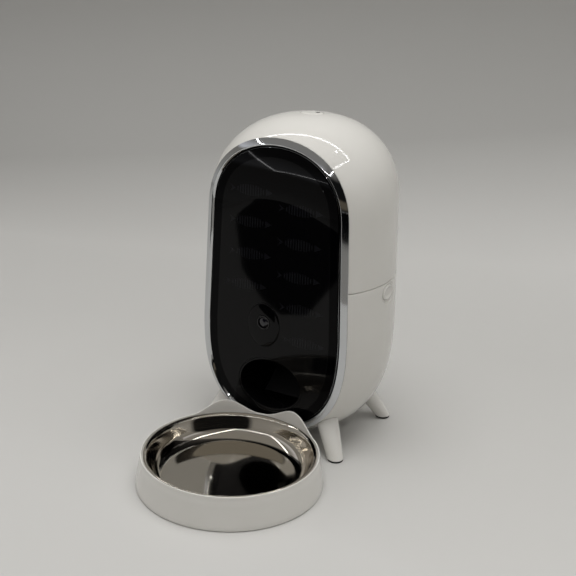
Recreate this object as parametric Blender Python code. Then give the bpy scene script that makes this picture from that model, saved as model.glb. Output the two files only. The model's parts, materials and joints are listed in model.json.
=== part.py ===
"""Pet feeder with a camera: an egg-shaped body on four legs, and a loose tray with a steel bowl.

Metres, +Z up, the front towards -Y. The origin is on the floor, at the middle of the whole outline.
The pieces are modelled about the body's own upright axis and hang on one empty that stands there.
"""

import math

import bmesh
import bpy
from mathutils import Matrix, Vector

# Body, an upright shape of two round ends joined by a straight band
WAIST_RADIUS = 0.0936
BAND_HEIGHT = 0.1131
BELLY_DEPTH = 0.1131
BAND_TAPER = 0.0036
DOME_HEIGHT = 0.0843
DOME_LEAN = 0.0065
UNDERSIDE_Z = 0.0150
UNDERSIDE_RISE = 0.0079
SEAM_RISE = 0.0485
SEAM_GAP = 0.0005
WALL = 0.0024
FIT = 0.0003
OVERRUN = 0.0060
MERGE = 0.000005
BELLY_POWER = 2.71
DOME_POWER = 2.25
DEPTH_RATIO = 1.046

# Seam tongue and underside of the lower shell
TONGUE_HEIGHT = 0.0030
TONGUE_ROOT = 0.0015
TONGUE_WALL = 0.0015
BASE_RIM = 0.0015
BASE_LIP = 0.0060
BASE_PLATE_THICKNESS = 0.0018
BASE_SCREW_RADIUS = 0.0013
BASE_SCREW_HEAD = 0.0028
BASE_SCREW_HEAD_HEIGHT = 0.0013
BASE_SCREW_LENGTH = 0.0045

# Front: chamfered ring, inner frame and window
FACE_SETBACK = 0.0439
RING_EDGE = 0.0008
RING_PROUD = 0.0042
RING_WIDTH = 0.0084
RING_LAND = 0.0010
FRAME_FLANGE_INSET = 0.0054
FRAME_FLANGE_THICKNESS = 0.0020
FRAME_DEPTH = 0.0021
WINDOW_THICKNESS = 0.0015
FRAME_SCREW_RADIUS = 0.0013
FRAME_SCREW_HEAD = 0.0027
FRAME_SCREW_HEAD_HEIGHT = 0.0014
FRAME_SCREW_LENGTH = 0.0095
FRAME_POST_WIDTH = 0.0120
FRAME_POST_DEPTH = 0.0080
FRAME_SCREW_RISE = 0.0298
FRAME_SCREW_LOW_Z = 0.0450
FRAME_SCREW_EDGE = 0.0175

# Camera
CAMERA_X = -0.0085
CAMERA_GAP = 0.0111
CAMERA_HALF_WIDTH = 0.0170
CAMERA_HALF_HEIGHT = 0.0220
BEZEL_PROUD = 0.0010
LENS_RISE = 0.0026
BARREL_RADIUS = 0.0070
BARREL_WALL = 0.0014
BARREL_PROUD = 0.0006
LENS_DEPTH = 0.0020
LENS_RECESS = 0.0007
CAMERA_BOX_WIDTH = 0.0350
CAMERA_BOX_HEIGHT = 0.0300
CAMERA_BOX_DEPTH = 0.0085

# Food outlet
OUTLET_Z = 0.0625
OUTLET_HALF_WIDTH = 0.0350
OUTLET_HALF_HEIGHT = 0.0270
OUTLET_WALL = 0.0020
OUTLET_BACK_MARGIN = 0.0010
RAMP_HALF_WIDTH = 0.0190
RAMP_LENGTH = 0.0300
RAMP_HEIGHT = 0.0230
DROP_EDGE = 0.0045

# Hopper and its drive, on the drive's upright axis
DRIVE_OFFSET = 0.0025
CHAMBER_STEP = 0.0120
CHAMBER_HEIGHT = 0.0300
HOPPER_WALL = 0.0020
HOPPER_SIDE_SPACE = 0.0270
HOPPER_FRONT_SPACE = 0.0069
HOPPER_REAR_SPACE = 0.0306
HOPPER_NECK = 0.0105
HOPPER_COLLAR = 0.0050
HOPPER_COLLAR_THICKNESS = 0.0020
HOPPER_LID_SPACE = 0.0476
HOPPER_POWER = 5.0
SHAFT_RADIUS = 0.0030
ROTOR_HUB = 0.0090
ROTOR_CLEARANCE = 0.0006
ROTOR_HEIGHT = 0.0250
VANE_THICKNESS = 0.0026
VANES = 6
AGITATOR_HEIGHT = 0.0100
AGITATOR_BAR = 0.0050
AGITATOR_END_SPACE = 0.0090
MOTOR_HALF_WIDTH = 0.0170
MOTOR_LENGTH = 0.0420
MOTOR_HEIGHT = 0.0230
MOTOR_FRONT_GAP = 0.0030
MOTOR_CAN_RADIUS = 0.0120
MOTOR_CAN_HEIGHT = 0.0200
MOTOR_PLATE_THICKNESS = 0.0030
MOTOR_PLATE_MARGIN = 0.0030

# Deck that carries the hopper
DECK_DROP = 0.0080
DECK_THICKNESS = 0.0024
DECK_RIB_LENGTH = 0.0090
DECK_RIB_WIDTH = 0.0080
DECK_RIB_HEIGHT = 0.0120
DECK_RIB_SETBACK = 0.0125
DECK_RIB_REAR_TURN = math.radians(45)

# Board, socket and speaker
BOARD_SETBACK = 0.0379
BOARD_THICKNESS = 0.0016
BOARD_HALF_WIDTH = 0.0300
BOARD_LOW_Z = 0.0380
BOARD_HIGH_Z = 0.0850
BOARD_POST_RADIUS = 0.0030
BOARD_POST_INSET = 0.0070
SOCKET_Z = 0.0450
SOCKET_RADIUS = 0.0060
SOCKET_BORE = 0.0034
SOCKET_DEPTH = 0.0100
SOCKET_RECESS = 0.0004
SPEAKER_EDGE = 0.0400
SPEAKER_DROP = 0.0126
SPEAKER_RADIUS = 0.0130
SPEAKER_DEPTH = 0.0120

# Battery box and its door
BATTERY_LIP_GAP = 0.0010
BATTERY_TURN = math.radians(42)
BATTERY_HEIGHT = 0.0165
BATTERY_WALL = 0.0015
DOOR_LEDGE = 0.0005

# Hinge
HINGE_RADIUS = 0.0035
HINGE_OFFSET = 0.0050
HINGE_PIN_RADIUS = 0.0015
HINGE_HALF_WIDTH = 0.0220
HINGE_MIDDLE_HALF_WIDTH = 0.0077

# Inner lid of the hood
LINER_THICKNESS = 0.0030
LINER_FRONT_GAP = 0.0017
LINER_EDGE_GAP = 0.0008
SEAL_THICKNESS = 0.0034
SEAL_WIDTH = 0.0040
CAP_RADIUS = 0.0220
CAP_DEPTH = 0.0130
CAP_WALL = 0.0016

# Push button on top
TOP_BUTTON_Y = 0.0080
TOP_BUTTON_RADIUS = 0.0110
TOP_BUTTON_PROUD = 0.0006
TOP_BUTTON_FLANGE = 0.0015
TOP_BUTTON_FLANGE_THICKNESS = 0.0012
TOP_BUTTON_FLANGE_DROP = 0.0036
TOP_BUTTON_EDGE = 0.0006
TOP_BUTTON_TRAVEL = 0.0015
BUTTON_STEM_RADIUS = 0.0030
SWITCH_POST_RADIUS = 0.0090
SWITCH_POST_HEIGHT = 0.0190
SWITCH_WIDTH = 0.0062
SWITCH_HEIGHT = 0.0035
SPRING_RADIUS = 0.0066
SPRING_WIRE = 0.00045
SPRING_TURNS = 5
SPRING_POINTS = 10

# Latch buttons at the sides
LATCH_Y = 0.0020
LATCH_DROP = 0.0107
LATCH_HALF_WIDTH = 0.0115
LATCH_HALF_HEIGHT = 0.00725
LATCH_RECESS_MARGIN = 0.0022
LATCH_RECESS_DEPTH = 0.0012
LATCH_FLANGE = 0.0014
LATCH_FLANGE_THICKNESS = 0.0020
LATCH_PROUD = 0.0002
LATCH_TRAVEL = 0.0020
LATCH_ARM_LENGTH = 0.0300
LATCH_ARM_WIDTH = 0.0100
LATCH_ARM_THICKNESS = 0.0012
LATCH_ARM_PAD = 0.0050

# Legs and their pads
FOOT_SIDE_INSET = 0.0206
FOOT_END_INSET = 0.0424
FOOT_RADIUS = 0.0080
FOOT_EDGE = 0.0008
FOOT_PAD_RADIUS = 0.0072
FOOT_PAD_THICKNESS = 0.0016
LEG_TOP_RADIUS = 0.0124
LEG_TOP_Z = 0.0460
LEG_SPLAY = math.radians(35)

# Tray
TRAY_X = 0.0075
TRAY_GAP = 0.0016
TRAY_BASE_RADIUS = 0.0860
TRAY_TAPER = 0.0044
TRAY_HEIGHT = 0.0310
TRAY_RAISE = 0.0006
TRAY_RIM_WALL = 0.0016
TRAY_WALL = 0.0024
TRAY_FLOOR_Z = 0.0030
TRAY_LEDGE_DROP = 0.0028
TRAY_LEDGE_WIDTH = 0.0034
TRAY_CHANNEL_TOP = 0.0220
TRAY_TURN = math.radians(9.5)
EAR_HEIGHT = 0.0120
EAR_ANGLE = math.radians(26)
EAR_HALF_SPAN = math.radians(24)
TRAY_PAD_RADIUS = 0.0060
TRAY_PAD_INSET = 0.0360
TRAY_PADS = 3

# Steel bowl
BOWL_SHEET = 0.0007
BOWL_LIP_GAP = 0.0010
BOWL_LIP_ROLL = 0.0010
BOWL_WELL_GAP = 0.0004
BOWL_WALL_DRAFT = 0.0050
BOWL_SHELF_WIDTH = 0.0102
BOWL_SHELF_STEP = 0.0030
BOWL_WALL_FOOT_RISE = 0.0070
BOWL_SHELF_RISE = 0.0035
BOWL_FLOOR_GAP = 0.0010

# Smoothness
BODY_SEGMENTS = 48
DOME_STEPS = 9
BELLY_STEPS = 7
FACE_POINTS = 48
HOPPER_POINTS = 32
TRAY_SEGMENTS = 60
BOWL_SEGMENTS = 40
OVAL_POINTS = 28
PIN_POINTS = 14
SMALL_POINTS = 12
LEG_POINTS = 16
SHARP_ANGLE = math.radians(35)
MIDDLE_SHARE = 0.5
WALL_BITE_SHARE = 0.25
BARREL_TURN_SHARE = 0.75
BISECTION_STEPS = 40

# Places that follow from the sizes
WAIST_Z = UNDERSIDE_Z - UNDERSIDE_RISE + BELLY_DEPTH
DOME_Z = WAIST_Z + BAND_HEIGHT
SEAM_Z = WAIST_Z + SEAM_RISE
CAMERA_Z = OUTLET_Z + OUTLET_HALF_HEIGHT + CAMERA_GAP + CAMERA_HALF_HEIGHT
SPEAKER_Z = CAMERA_Z - SPEAKER_DROP
FRAME_SCREW_HIGH_Z = WAIST_Z + FRAME_SCREW_RISE
DOME_RADIUS = WAIST_RADIUS - BAND_TAPER
WAIST_HALF_DEPTH = WAIST_RADIUS * DEPTH_RATIO
FACE_Y = FACE_SETBACK - WAIST_HALF_DEPTH
CUT_Y = FACE_Y + FIT
FRAME_BACK_Y = CUT_Y + FRAME_FLANGE_THICKNESS
FRAME_FRONT_Y = FACE_Y - FRAME_DEPTH
WINDOW_BACK_Y = FRAME_FRONT_Y - FIT
WINDOW_FRONT_Y = WINDOW_BACK_Y - WINDOW_THICKNESS
INSIDE_FRONT_Y = FRAME_BACK_Y + FIT
TOP_Z = DOME_Z + DOME_HEIGHT
HOPPER_FRONT_Y = INSIDE_FRONT_Y + HOPPER_FRONT_SPACE
HOPPER_REAR_Y = DOME_RADIUS * DEPTH_RATIO - HOPPER_REAR_SPACE
HOPPER_HALF_DEPTH = (HOPPER_REAR_Y - HOPPER_FRONT_Y) / 2
HOPPER_Y = (HOPPER_REAR_Y + HOPPER_FRONT_Y) / 2
HOPPER_HALF_WIDTH = DOME_RADIUS - HOPPER_SIDE_SPACE
HOPPER_RIM_Z = TOP_Z - HOPPER_LID_SPACE
CHAMBER_RADIUS = HOPPER_HALF_DEPTH - CHAMBER_STEP
AGITATOR_HALF_LENGTH = CHAMBER_RADIUS - AGITATOR_END_SPACE
DRIVE_Y = HOPPER_Y + DRIVE_OFFSET
DROP_RADIUS = (CHAMBER_RADIUS - HOPPER_WALL - ROTOR_HUB) / 2 - DROP_EDGE
DROP_Y = DRIVE_Y - ROTOR_HUB - DROP_EDGE - DROP_RADIUS
OUTLET_BACK_Y = DROP_Y + DROP_RADIUS + OUTLET_BACK_MARGIN
BOARD_Y = WAIST_HALF_DEPTH - BOARD_SETBACK
FOOT_X = WAIST_RADIUS - FOOT_SIDE_INSET
FOOT_Y = WAIST_HALF_DEPTH - FOOT_END_INSET
SHELL_TOP_Z = SEAM_Z - SEAM_GAP / 2
HOOD_BOTTOM_Z = SEAM_Z + SEAM_GAP / 2
SHELL_FLOOR_Z = UNDERSIDE_Z + 2 * WALL
LIP_Z = UNDERSIDE_Z + WALL
BASE_PLATE_Z = LIP_Z - FIT - BASE_PLATE_THICKNESS
BATTERY_Z = LIP_Z
HOPPER_BOTTOM_Z = OUTLET_Z + OUTLET_HALF_HEIGHT + FIT
CHAMBER_FLOOR_Z = HOPPER_BOTTOM_Z + HOPPER_WALL
SHOULDER_LOW_Z = HOPPER_BOTTOM_Z + CHAMBER_HEIGHT
DECK_TOP_Z = SEAM_Z - DECK_DROP
DECK_BOTTOM_Z = DECK_TOP_Z - DECK_THICKNESS
SHOULDER_HIGH_Z = DECK_BOTTOM_Z - HOPPER_NECK
ROTOR_LOW_Z = CHAMBER_FLOOR_Z + ROTOR_CLEARANCE
ROTOR_HIGH_Z = ROTOR_LOW_Z + ROTOR_HEIGHT
MOTOR_PLATE_TOP_Z = HOPPER_BOTTOM_Z - FIT
MOTOR_PLATE_Z = MOTOR_PLATE_TOP_Z - MOTOR_PLATE_THICKNESS
MOTOR_TOP_Z = MOTOR_PLATE_Z - FIT
MOTOR_FRONT_Y = OUTLET_BACK_Y + MOTOR_FRONT_GAP
SEAL_Z = HOPPER_RIM_Z + FIT
LINER_Z = SEAL_Z + SEAL_THICKNESS + FIT
LINER_TOP_Z = LINER_Z + LINER_THICKNESS
LATCH_Z = SEAM_Z - LATCH_DROP
TOP_BUTTON_Z = TOP_Z + TOP_BUTTON_PROUD
TOP_FLANGE_TOP_Z = TOP_Z - TOP_BUTTON_FLANGE_DROP
TOP_FLANGE_Z = TOP_FLANGE_TOP_Z - TOP_BUTTON_FLANGE_THICKNESS
SWITCH_POST_TOP_Z = LINER_TOP_Z + FIT + SWITCH_POST_HEIGHT
SWITCH_TOP_Z = SWITCH_POST_TOP_Z + FIT + SWITCH_HEIGHT
STEM_Z = SWITCH_TOP_Z + TOP_BUTTON_TRAVEL + FIT
SPRING_Z = SWITCH_POST_TOP_Z + FIT
SPRING_TOP_Z = TOP_FLANGE_Z - FIT
LENS_Z = CAMERA_Z + LENS_RISE
LENS_FRONT_Y = WINDOW_FRONT_Y - BARREL_PROUD
TRAY_RIM_RADIUS = TRAY_BASE_RADIUS - TRAY_TAPER
TRAY_Y = FACE_Y - RING_PROUD - TRAY_GAP - TRAY_RIM_RADIUS
TRAY_LEDGE_OUTER = TRAY_RIM_RADIUS - TRAY_RIM_WALL
TRAY_LEDGE_INNER = TRAY_LEDGE_OUTER - TRAY_LEDGE_WIDTH
TRAY_PAD_CIRCLE = TRAY_BASE_RADIUS - TRAY_PAD_INSET
TRAY_LEDGE_Z = TRAY_HEIGHT - TRAY_LEDGE_DROP
TRAY_WELL_FLOOR_Z = TRAY_FLOOR_Z + TRAY_WALL
BOWL_FLOOR_Z = TRAY_WELL_FLOOR_Z + BOWL_FLOOR_GAP
BOWL_LIP_Z = TRAY_LEDGE_Z + FIT
BOWL_LIP_RADIUS = TRAY_LEDGE_OUTER - BOWL_LIP_GAP
BOWL_WALL_TOP = TRAY_LEDGE_INNER - BOWL_WELL_GAP
BOWL_WALL_FOOT = BOWL_WALL_TOP - BOWL_WALL_DRAFT
BOWL_SHELF_IN = BOWL_WALL_FOOT - BOWL_SHELF_WIDTH
BOWL_FLOOR_RADIUS = BOWL_SHELF_IN - BOWL_SHELF_STEP


def body_radius(z, inset=0):
    """Half-width of the body at height z, for a surface that lies inset inside the outer one."""
    if z > DOME_Z:
        rise_share = min(1, (z - DOME_Z) / (DOME_HEIGHT - inset))
        return (DOME_RADIUS - inset) * (1 - rise_share ** DOME_POWER) ** (1 / DOME_POWER)
    if z > WAIST_Z:
        band_share = (DOME_Z - z) / (DOME_Z - WAIST_Z)
        return DOME_RADIUS + BAND_TAPER * band_share - inset
    drop_share = min(1, (WAIST_Z - z) / (BELLY_DEPTH - inset))
    return (WAIST_RADIUS - inset) * (1 - drop_share ** BELLY_POWER) ** (1 / BELLY_POWER)


def body_lean(z):
    """How far back the body's centre lies at height z."""
    return DOME_LEAN * max(0, z - DOME_Z) / DOME_HEIGHT


def half_width(z, y, inset=0):
    """Half-width of the body in the upright plane at y."""
    depth = (y - body_lean(z)) / DEPTH_RATIO
    return math.sqrt(max(0, body_radius(z, inset) ** 2 - depth ** 2))


def half_depth(z, x, inset=0):
    """Rearward reach of the body's surface at x."""
    return body_lean(z) + DEPTH_RATIO * math.sqrt(max(0, body_radius(z, inset) ** 2 - x ** 2))


def curved_heights(centre, reach, power, end_share, steps):
    """Heights from a round end's widest level towards its pole, closer together near the pole."""
    last_turn = math.asin(min(1, end_share) ** (power / 2))
    return [centre + reach * math.sin(last_turn * step / steps) ** (2 / power) for step in range(steps + 1)]


def belly_heights(low_z, inset=0):
    depth = BELLY_DEPTH - inset
    return curved_heights(WAIST_Z, -depth, BELLY_POWER, (WAIST_Z - low_z) / depth, BELLY_STEPS)


def dome_heights(inset=0):
    return curved_heights(DOME_Z, DOME_HEIGHT - inset, DOME_POWER, 1, DOME_STEPS)


def body_points(heights, inset=0):
    """Points (radius, height) of the body's turned outline."""
    return [(body_radius(z, inset), z) for z in heights]


HINGE_Y = half_depth(SEAM_Z, 0) + HINGE_OFFSET
AXIS_Y = (TRAY_BASE_RADIUS - TRAY_Y - HINGE_Y - HINGE_RADIUS) / 2
BATTERY_REACH = body_radius(UNDERSIDE_Z) - BASE_RIM - BASE_LIP - BATTERY_LIP_GAP
BATTERY_HALF_WIDTH = BATTERY_REACH * math.cos(BATTERY_TURN)
BATTERY_HALF_DEPTH = BATTERY_REACH * math.sin(BATTERY_TURN)
SPEAKER_X = half_width(SPEAKER_Z, FACE_Y) - SPEAKER_EDGE
LEG_SHIFT = (LEG_TOP_Z - FOOT_PAD_THICKNESS - FIT) * math.tan(LEG_SPLAY)
LATCH_FACE_X = body_radius(LATCH_Z) + LATCH_PROUD
LATCH_FLANGE_Y = abs(LATCH_Y) + LATCH_HALF_WIDTH + LATCH_FLANGE
LATCH_FLANGE_X = half_width(LATCH_Z + LATCH_HALF_HEIGHT, LATCH_FLANGE_Y, WALL) - FIT


def material(name, colour, roughness, metallic=0):
    """A named finish."""
    finish = bpy.data.materials.new(name)
    finish.use_nodes = True
    shader = finish.node_tree.nodes["Principled BSDF"]
    shader.inputs["Base Color"].default_value = (*colour, 1)
    shader.inputs["Roughness"].default_value = roughness
    shader.inputs["Metallic"].default_value = metallic
    finish.diffuse_color = (*colour, 1)
    return finish


def node(name, bm, finish, origin=(0, 0, 0)):
    """Turn a bmesh into a named object whose origin is at the given point of the body's frame."""
    bmesh.ops.remove_doubles(bm, verts=bm.verts, dist=MERGE)
    bmesh.ops.translate(bm, verts=bm.verts, vec=-Vector(origin))
    mesh = bpy.data.meshes.new(name)
    bm.to_mesh(mesh)
    bm.free()
    mesh.shade_smooth()
    mesh.set_sharp_from_angle(angle=SHARP_ANGLE)
    piece = bpy.data.objects.new(name, mesh)
    bpy.context.collection.objects.link(piece)
    piece.parent = body_axis
    piece.location = origin
    if finish:
        mesh.materials.append(finish)
    return piece


def tool(name, bm):
    """A cutter or an addition: a guide that isn't part of the object."""
    piece = node(name, bm, None)
    piece.hide_render = True
    piece.display_type = "WIRE"
    return piece


def combine(piece, guide, operation):
    """Add a guide's shape to a piece, or take it away."""
    modifier = piece.modifiers.new(guide.name, "BOOLEAN")
    modifier.operation = operation
    modifier.solver = "EXACT"
    modifier.object = guide


def face_outwards(bm, faces):
    """Make one closed shape's faces agree and point out of it, judged by the volume that they enclose."""
    bmesh.ops.recalc_face_normals(bm, faces=faces)
    if sum(face.calc_area() * face.normal.dot(face.calc_center_median()) for face in faces) < 0:
        bmesh.ops.reverse_faces(bm, faces=faces)


def loft(bm, loops, closed=False):
    """Skin a row of loops that have the same number of points, with flat ends unless it closes on itself."""
    rings = [[bm.verts.new(point) for point in loop] for loop in loops]
    pairs = list(zip(rings, rings[1:]))
    if closed:
        pairs.append((rings[-1], rings[0]))
    faces = []
    for first, second in pairs:
        corners = zip(first, first[1:] + first[:1], second[1:] + second[:1], second)
        faces += [bm.faces.new(corner) for corner in corners]
    if not closed:
        faces += [bm.faces.new(rings[0]), bm.faces.new(rings[-1])]
    bm.normal_update()
    face_outwards(bm, faces)


def lathe(points, segments, closed=False):
    """Turn an outline of (radius, height) points about the upright axis."""
    bm = bmesh.new()
    verts = [bm.verts.new((radius, 0, z)) for radius, z in points]
    pairs = list(zip(verts, verts[1:]))
    if closed:
        pairs.append((verts[-1], verts[0]))
    edges = [bm.edges.new(pair) for pair in pairs if max(vert.co.x for vert in pair) > MERGE]
    bmesh.ops.spin(
        bm, geom=verts + edges, cent=(0, 0, 0), axis=(0, 0, 1), angle=2 * math.pi, steps=segments,
        use_merge=True,
    )
    bmesh.ops.remove_doubles(bm, verts=bm.verts, dist=MERGE)
    bm.normal_update()
    face_outwards(bm, bm.faces[:])
    return bm


def body_lathe(points, closed=False):
    """Turn an outline into the body's own section, deeper than wide and leaning back at the top."""
    bm = lathe(points, BODY_SEGMENTS, closed)
    for vert in bm.verts:
        vert.co.y = vert.co.y * DEPTH_RATIO + body_lean(vert.co.z)
    return bm


def oval(half_u, half_v, centre_u, centre_v, count, power=2):
    """Points (u, v) round an oval; a power over 2 squares it up."""
    points = []
    for step in range(count):
        turn = 2 * math.pi * step / count
        u = math.copysign(abs(math.cos(turn)) ** (2 / power), math.cos(turn))
        v = math.copysign(abs(math.sin(turn)) ** (2 / power), math.sin(turn))
        points.append((centre_u + half_u * u, centre_v + half_v * v))
    return points


def across_x(points, x):
    return [(x, u, v) for u, v in points]


def across_y(points, y):
    return [(u, y, v) for u, v in points]


def across_z(points, z):
    return [(u, v, z) for u, v in points]


def stepped(bm, place, radii_and_levels, centre_u, centre_v, count):
    """A round piece whose radius changes in steps along its axis."""
    loft(bm, [place(oval(r, r, centre_u, centre_v, count), level) for r, level in radii_and_levels])


def rod(bm, place, radius, centre_u, centre_v, start, end, count=SMALL_POINTS):
    stepped(bm, place, [(radius, start), (radius, end)], centre_u, centre_v, count)


def box(bm, low, high, turn=0):
    """A box between two corners, turned about the upright line through its own middle."""
    centre = (Vector(low) + Vector(high)) / 2
    size = Vector(high) - Vector(low)
    place = Matrix.Translation(centre) @ Matrix.Rotation(turn, 4, "Z") @ Matrix.Diagonal((*size, 1))
    bmesh.ops.create_cube(bm, size=1, matrix=place)


def face_outline(inset):
    """The body's outline in the face's plane, drawn in by an inset along its own normals."""
    low_z, high_z = UNDERSIDE_Z, TOP_Z
    centre_z = (low_z + high_z) / 2
    points = []
    for step in range(FACE_POINTS):
        turn = 2 * math.pi * step / FACE_POINTS
        near, far = 0, high_z - low_z
        for _ in range(BISECTION_STEPS):
            reach = (near + far) / 2
            z = centre_z + reach * math.sin(turn)
            inside = low_z < z < high_z and abs(reach * math.cos(turn)) < half_width(z, FACE_Y)
            near, far = (reach, far) if inside else (near, reach)
        points.append(Vector((near * math.cos(turn), centre_z + near * math.sin(turn))))
    outline = []
    for index, point in enumerate(points):
        along = points[(index + 1) % FACE_POINTS] - points[index - 1]
        inward = Vector((-along.y, along.x)).normalized()
        outline.append(tuple(point + inward * inset))
    return outline


def face_loop(inset, y):
    return across_y(face_outline(inset), y)


def knuckle_outline(side, lug_y):
    """A barrel round the hinge's pin with a lug to the wall, above the seam (side 1) or below it (-1)."""
    points = [(lug_y, SEAM_Z + side * SEAM_GAP / 2), (lug_y, SEAM_Z + side * HINGE_RADIUS)]
    for step in range(PIN_POINTS):
        turn = math.pi / 2 - 2 * math.pi * BARREL_TURN_SHARE * step / (PIN_POINTS - 1)
        rise = side * HINGE_RADIUS * math.sin(turn)
        points.append((HINGE_Y + HINGE_RADIUS * math.cos(turn), SEAM_Z + rise))
    points.append((HINGE_Y - HINGE_RADIUS, SEAM_Z + side * SEAM_GAP / 2))
    return points


def knuckle(bm, side, low_x, high_x):
    lug_y = half_depth(SEAM_Z, max(abs(low_x), abs(high_x))) - WALL / 2
    outline = knuckle_outline(side, lug_y)
    loft(bm, [across_x(outline, low_x), across_x(outline, high_x)])


def front_cut(name, y):
    """A block in front of the plane at y."""
    bm = bmesh.new()
    reach = WAIST_RADIUS + OVERRUN
    box(bm, (-reach, -reach * DEPTH_RATIO, -OVERRUN), (reach, y, TOP_Z + OVERRUN))
    return tool(name, bm)


def frame_screw_places():
    """Where the four frame screws sit, (x, z), a fixed way in from the face's edge."""
    places = []
    for z in (FRAME_SCREW_LOW_Z, FRAME_SCREW_HIGH_Z):
        x = half_width(z, FACE_Y) - FRAME_SCREW_EDGE
        places += [(x, z), (-x, z)]
    return places


def base_screw_places():
    """Where the four base screws sit, on the middle of the shell's lower lip."""
    radius = body_radius(UNDERSIDE_Z) - BASE_RIM - BASE_LIP / 2
    turns = [math.pi / 4 + math.pi / 2 * step for step in range(4)]
    return [(radius * math.cos(turn), radius * math.sin(turn) * DEPTH_RATIO) for turn in turns]


def deck_rib_turns():
    """Directions of the four ribs that carry the deck, the front two clear of the face and its screws."""
    reach = (body_radius(DECK_BOTTOM_Z, WALL / 2) - DECK_RIB_LENGTH / 2) * DEPTH_RATIO
    front = math.asin((INSIDE_FRONT_Y + FRAME_POST_DEPTH + DECK_RIB_SETBACK) / reach)
    return [front, -math.pi - front, DECK_RIB_REAR_TURN, math.pi - DECK_RIB_REAR_TURN]


def board_post_places():
    x = BOARD_HALF_WIDTH - BOARD_POST_INSET
    lows = BOARD_LOW_Z + BOARD_POST_INSET * 2, BOARD_HIGH_Z - BOARD_POST_INSET
    return [(side * x, z) for side in (-1, 1) for z in lows]


def make_lower_shell():
    rim = body_radius(UNDERSIDE_Z) - BASE_RIM
    tongue_top = SEAM_Z + TONGUE_HEIGHT
    tongue_low = SEAM_Z - TONGUE_ROOT
    tongue = body_radius(tongue_top, WALL + FIT)
    outside = body_points(belly_heights(UNDERSIDE_Z))[::-1] + body_points([SHELL_TOP_Z])
    seam = [(tongue, SHELL_TOP_Z), (tongue, tongue_top), (tongue - TONGUE_WALL, tongue_top)]
    seam += [(tongue - TONGUE_WALL, tongue_low), (body_radius(tongue_low, WALL), tongue_low)]
    inside = body_points(belly_heights(SHELL_FLOOR_Z, WALL), WALL)
    foot = [(rim - BASE_LIP, SHELL_FLOOR_Z), (rim - BASE_LIP, LIP_Z), (rim, LIP_Z), (rim, UNDERSIDE_Z)]
    shell = node("lower_shell", body_lathe(outside + seam + inside + foot, closed=True), white_abs)

    added = bmesh.new()
    for x, z in frame_screw_places():
        low_z = z - FRAME_POST_WIDTH / 2
        side = math.copysign(1, x)
        edge = side * (half_width(low_z, INSIDE_FRONT_Y) - WALL * WALL_BITE_SHARE)
        inner = x - side * FRAME_POST_WIDTH / 2
        corners = sorted((inner, edge))
        low = corners[0], INSIDE_FRONT_Y, low_z
        box(added, low, (corners[1], INSIDE_FRONT_Y + FRAME_POST_DEPTH, z + FRAME_POST_WIDTH / 2))
    for turn in deck_rib_turns():
        outer = body_radius(DECK_BOTTOM_Z, WALL / 2)
        middle = outer - DECK_RIB_LENGTH / 2
        x, y = middle * math.cos(turn), middle * math.sin(turn) * DEPTH_RATIO
        half = Vector((DECK_RIB_LENGTH / 2, DECK_RIB_WIDTH / 2, 0))
        top = Vector((x, y, DECK_BOTTOM_Z - FIT))
        box(added, top - half - Vector((0, 0, DECK_RIB_HEIGHT)), top + half, turn)
    for x, z in board_post_places():
        wall_y = half_depth(z, x, WALL / 2)
        rod(added, across_y, BOARD_POST_RADIUS, x, z, BOARD_Y + BOARD_THICKNESS + FIT, wall_y)
    inner_x = HINGE_MIDDLE_HALF_WIDTH + FIT
    knuckle(added, -1, inner_x, HINGE_HALF_WIDTH)
    knuckle(added, -1, -HINGE_HALF_WIDTH, -inner_x)
    combine(shell, tool("shell_additions", added), "UNION")
    combine(shell, front_cut("shell_front_cut", CUT_Y), "DIFFERENCE")

    cuts = bmesh.new()
    hole = oval(LATCH_HALF_WIDTH + FIT, LATCH_HALF_HEIGHT + FIT, LATCH_Y, LATCH_Z, OVAL_POINTS)
    margin = LATCH_RECESS_MARGIN + FIT
    recess = oval(LATCH_HALF_WIDTH + margin, LATCH_HALF_HEIGHT + margin, LATCH_Y, LATCH_Z, OVAL_POINTS)
    outer = body_radius(LATCH_Z)
    for side in (-1, 1):
        depths = WALL + OVERRUN, LATCH_RECESS_DEPTH, -OVERRUN
        levels = [side * (outer - depth) for depth in depths]
        loft(
            cuts,
            [
                across_x(hole, levels[0]),
                across_x(hole, levels[1]),
                across_x(recess, levels[1]),
                across_x(recess, levels[2]),
            ],
        )
    for x, z in frame_screw_places():
        end = INSIDE_FRONT_Y + FRAME_POST_DEPTH + OVERRUN
        rod(cuts, across_y, FRAME_SCREW_RADIUS + FIT, x, z, INSIDE_FRONT_Y - OVERRUN / 2, end)
    for x, y in base_screw_places():
        rod(cuts, across_z, BASE_SCREW_RADIUS + FIT, x, y, UNDERSIDE_Z - OVERRUN, SHELL_FLOOR_Z + OVERRUN)
    rod(
        cuts, across_y, SOCKET_RADIUS + FIT, 0, SOCKET_Z, BOARD_Y + BOARD_THICKNESS + OVERRUN,
        WAIST_HALF_DEPTH + OVERRUN, OVAL_POINTS,
    )
    reach = HINGE_HALF_WIDTH + OVERRUN
    rod(cuts, across_x, HINGE_PIN_RADIUS + FIT, HINGE_Y, SEAM_Z, -reach, reach, PIN_POINTS)
    combine(shell, tool("shell_cuts", cuts), "DIFFERENCE")


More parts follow.
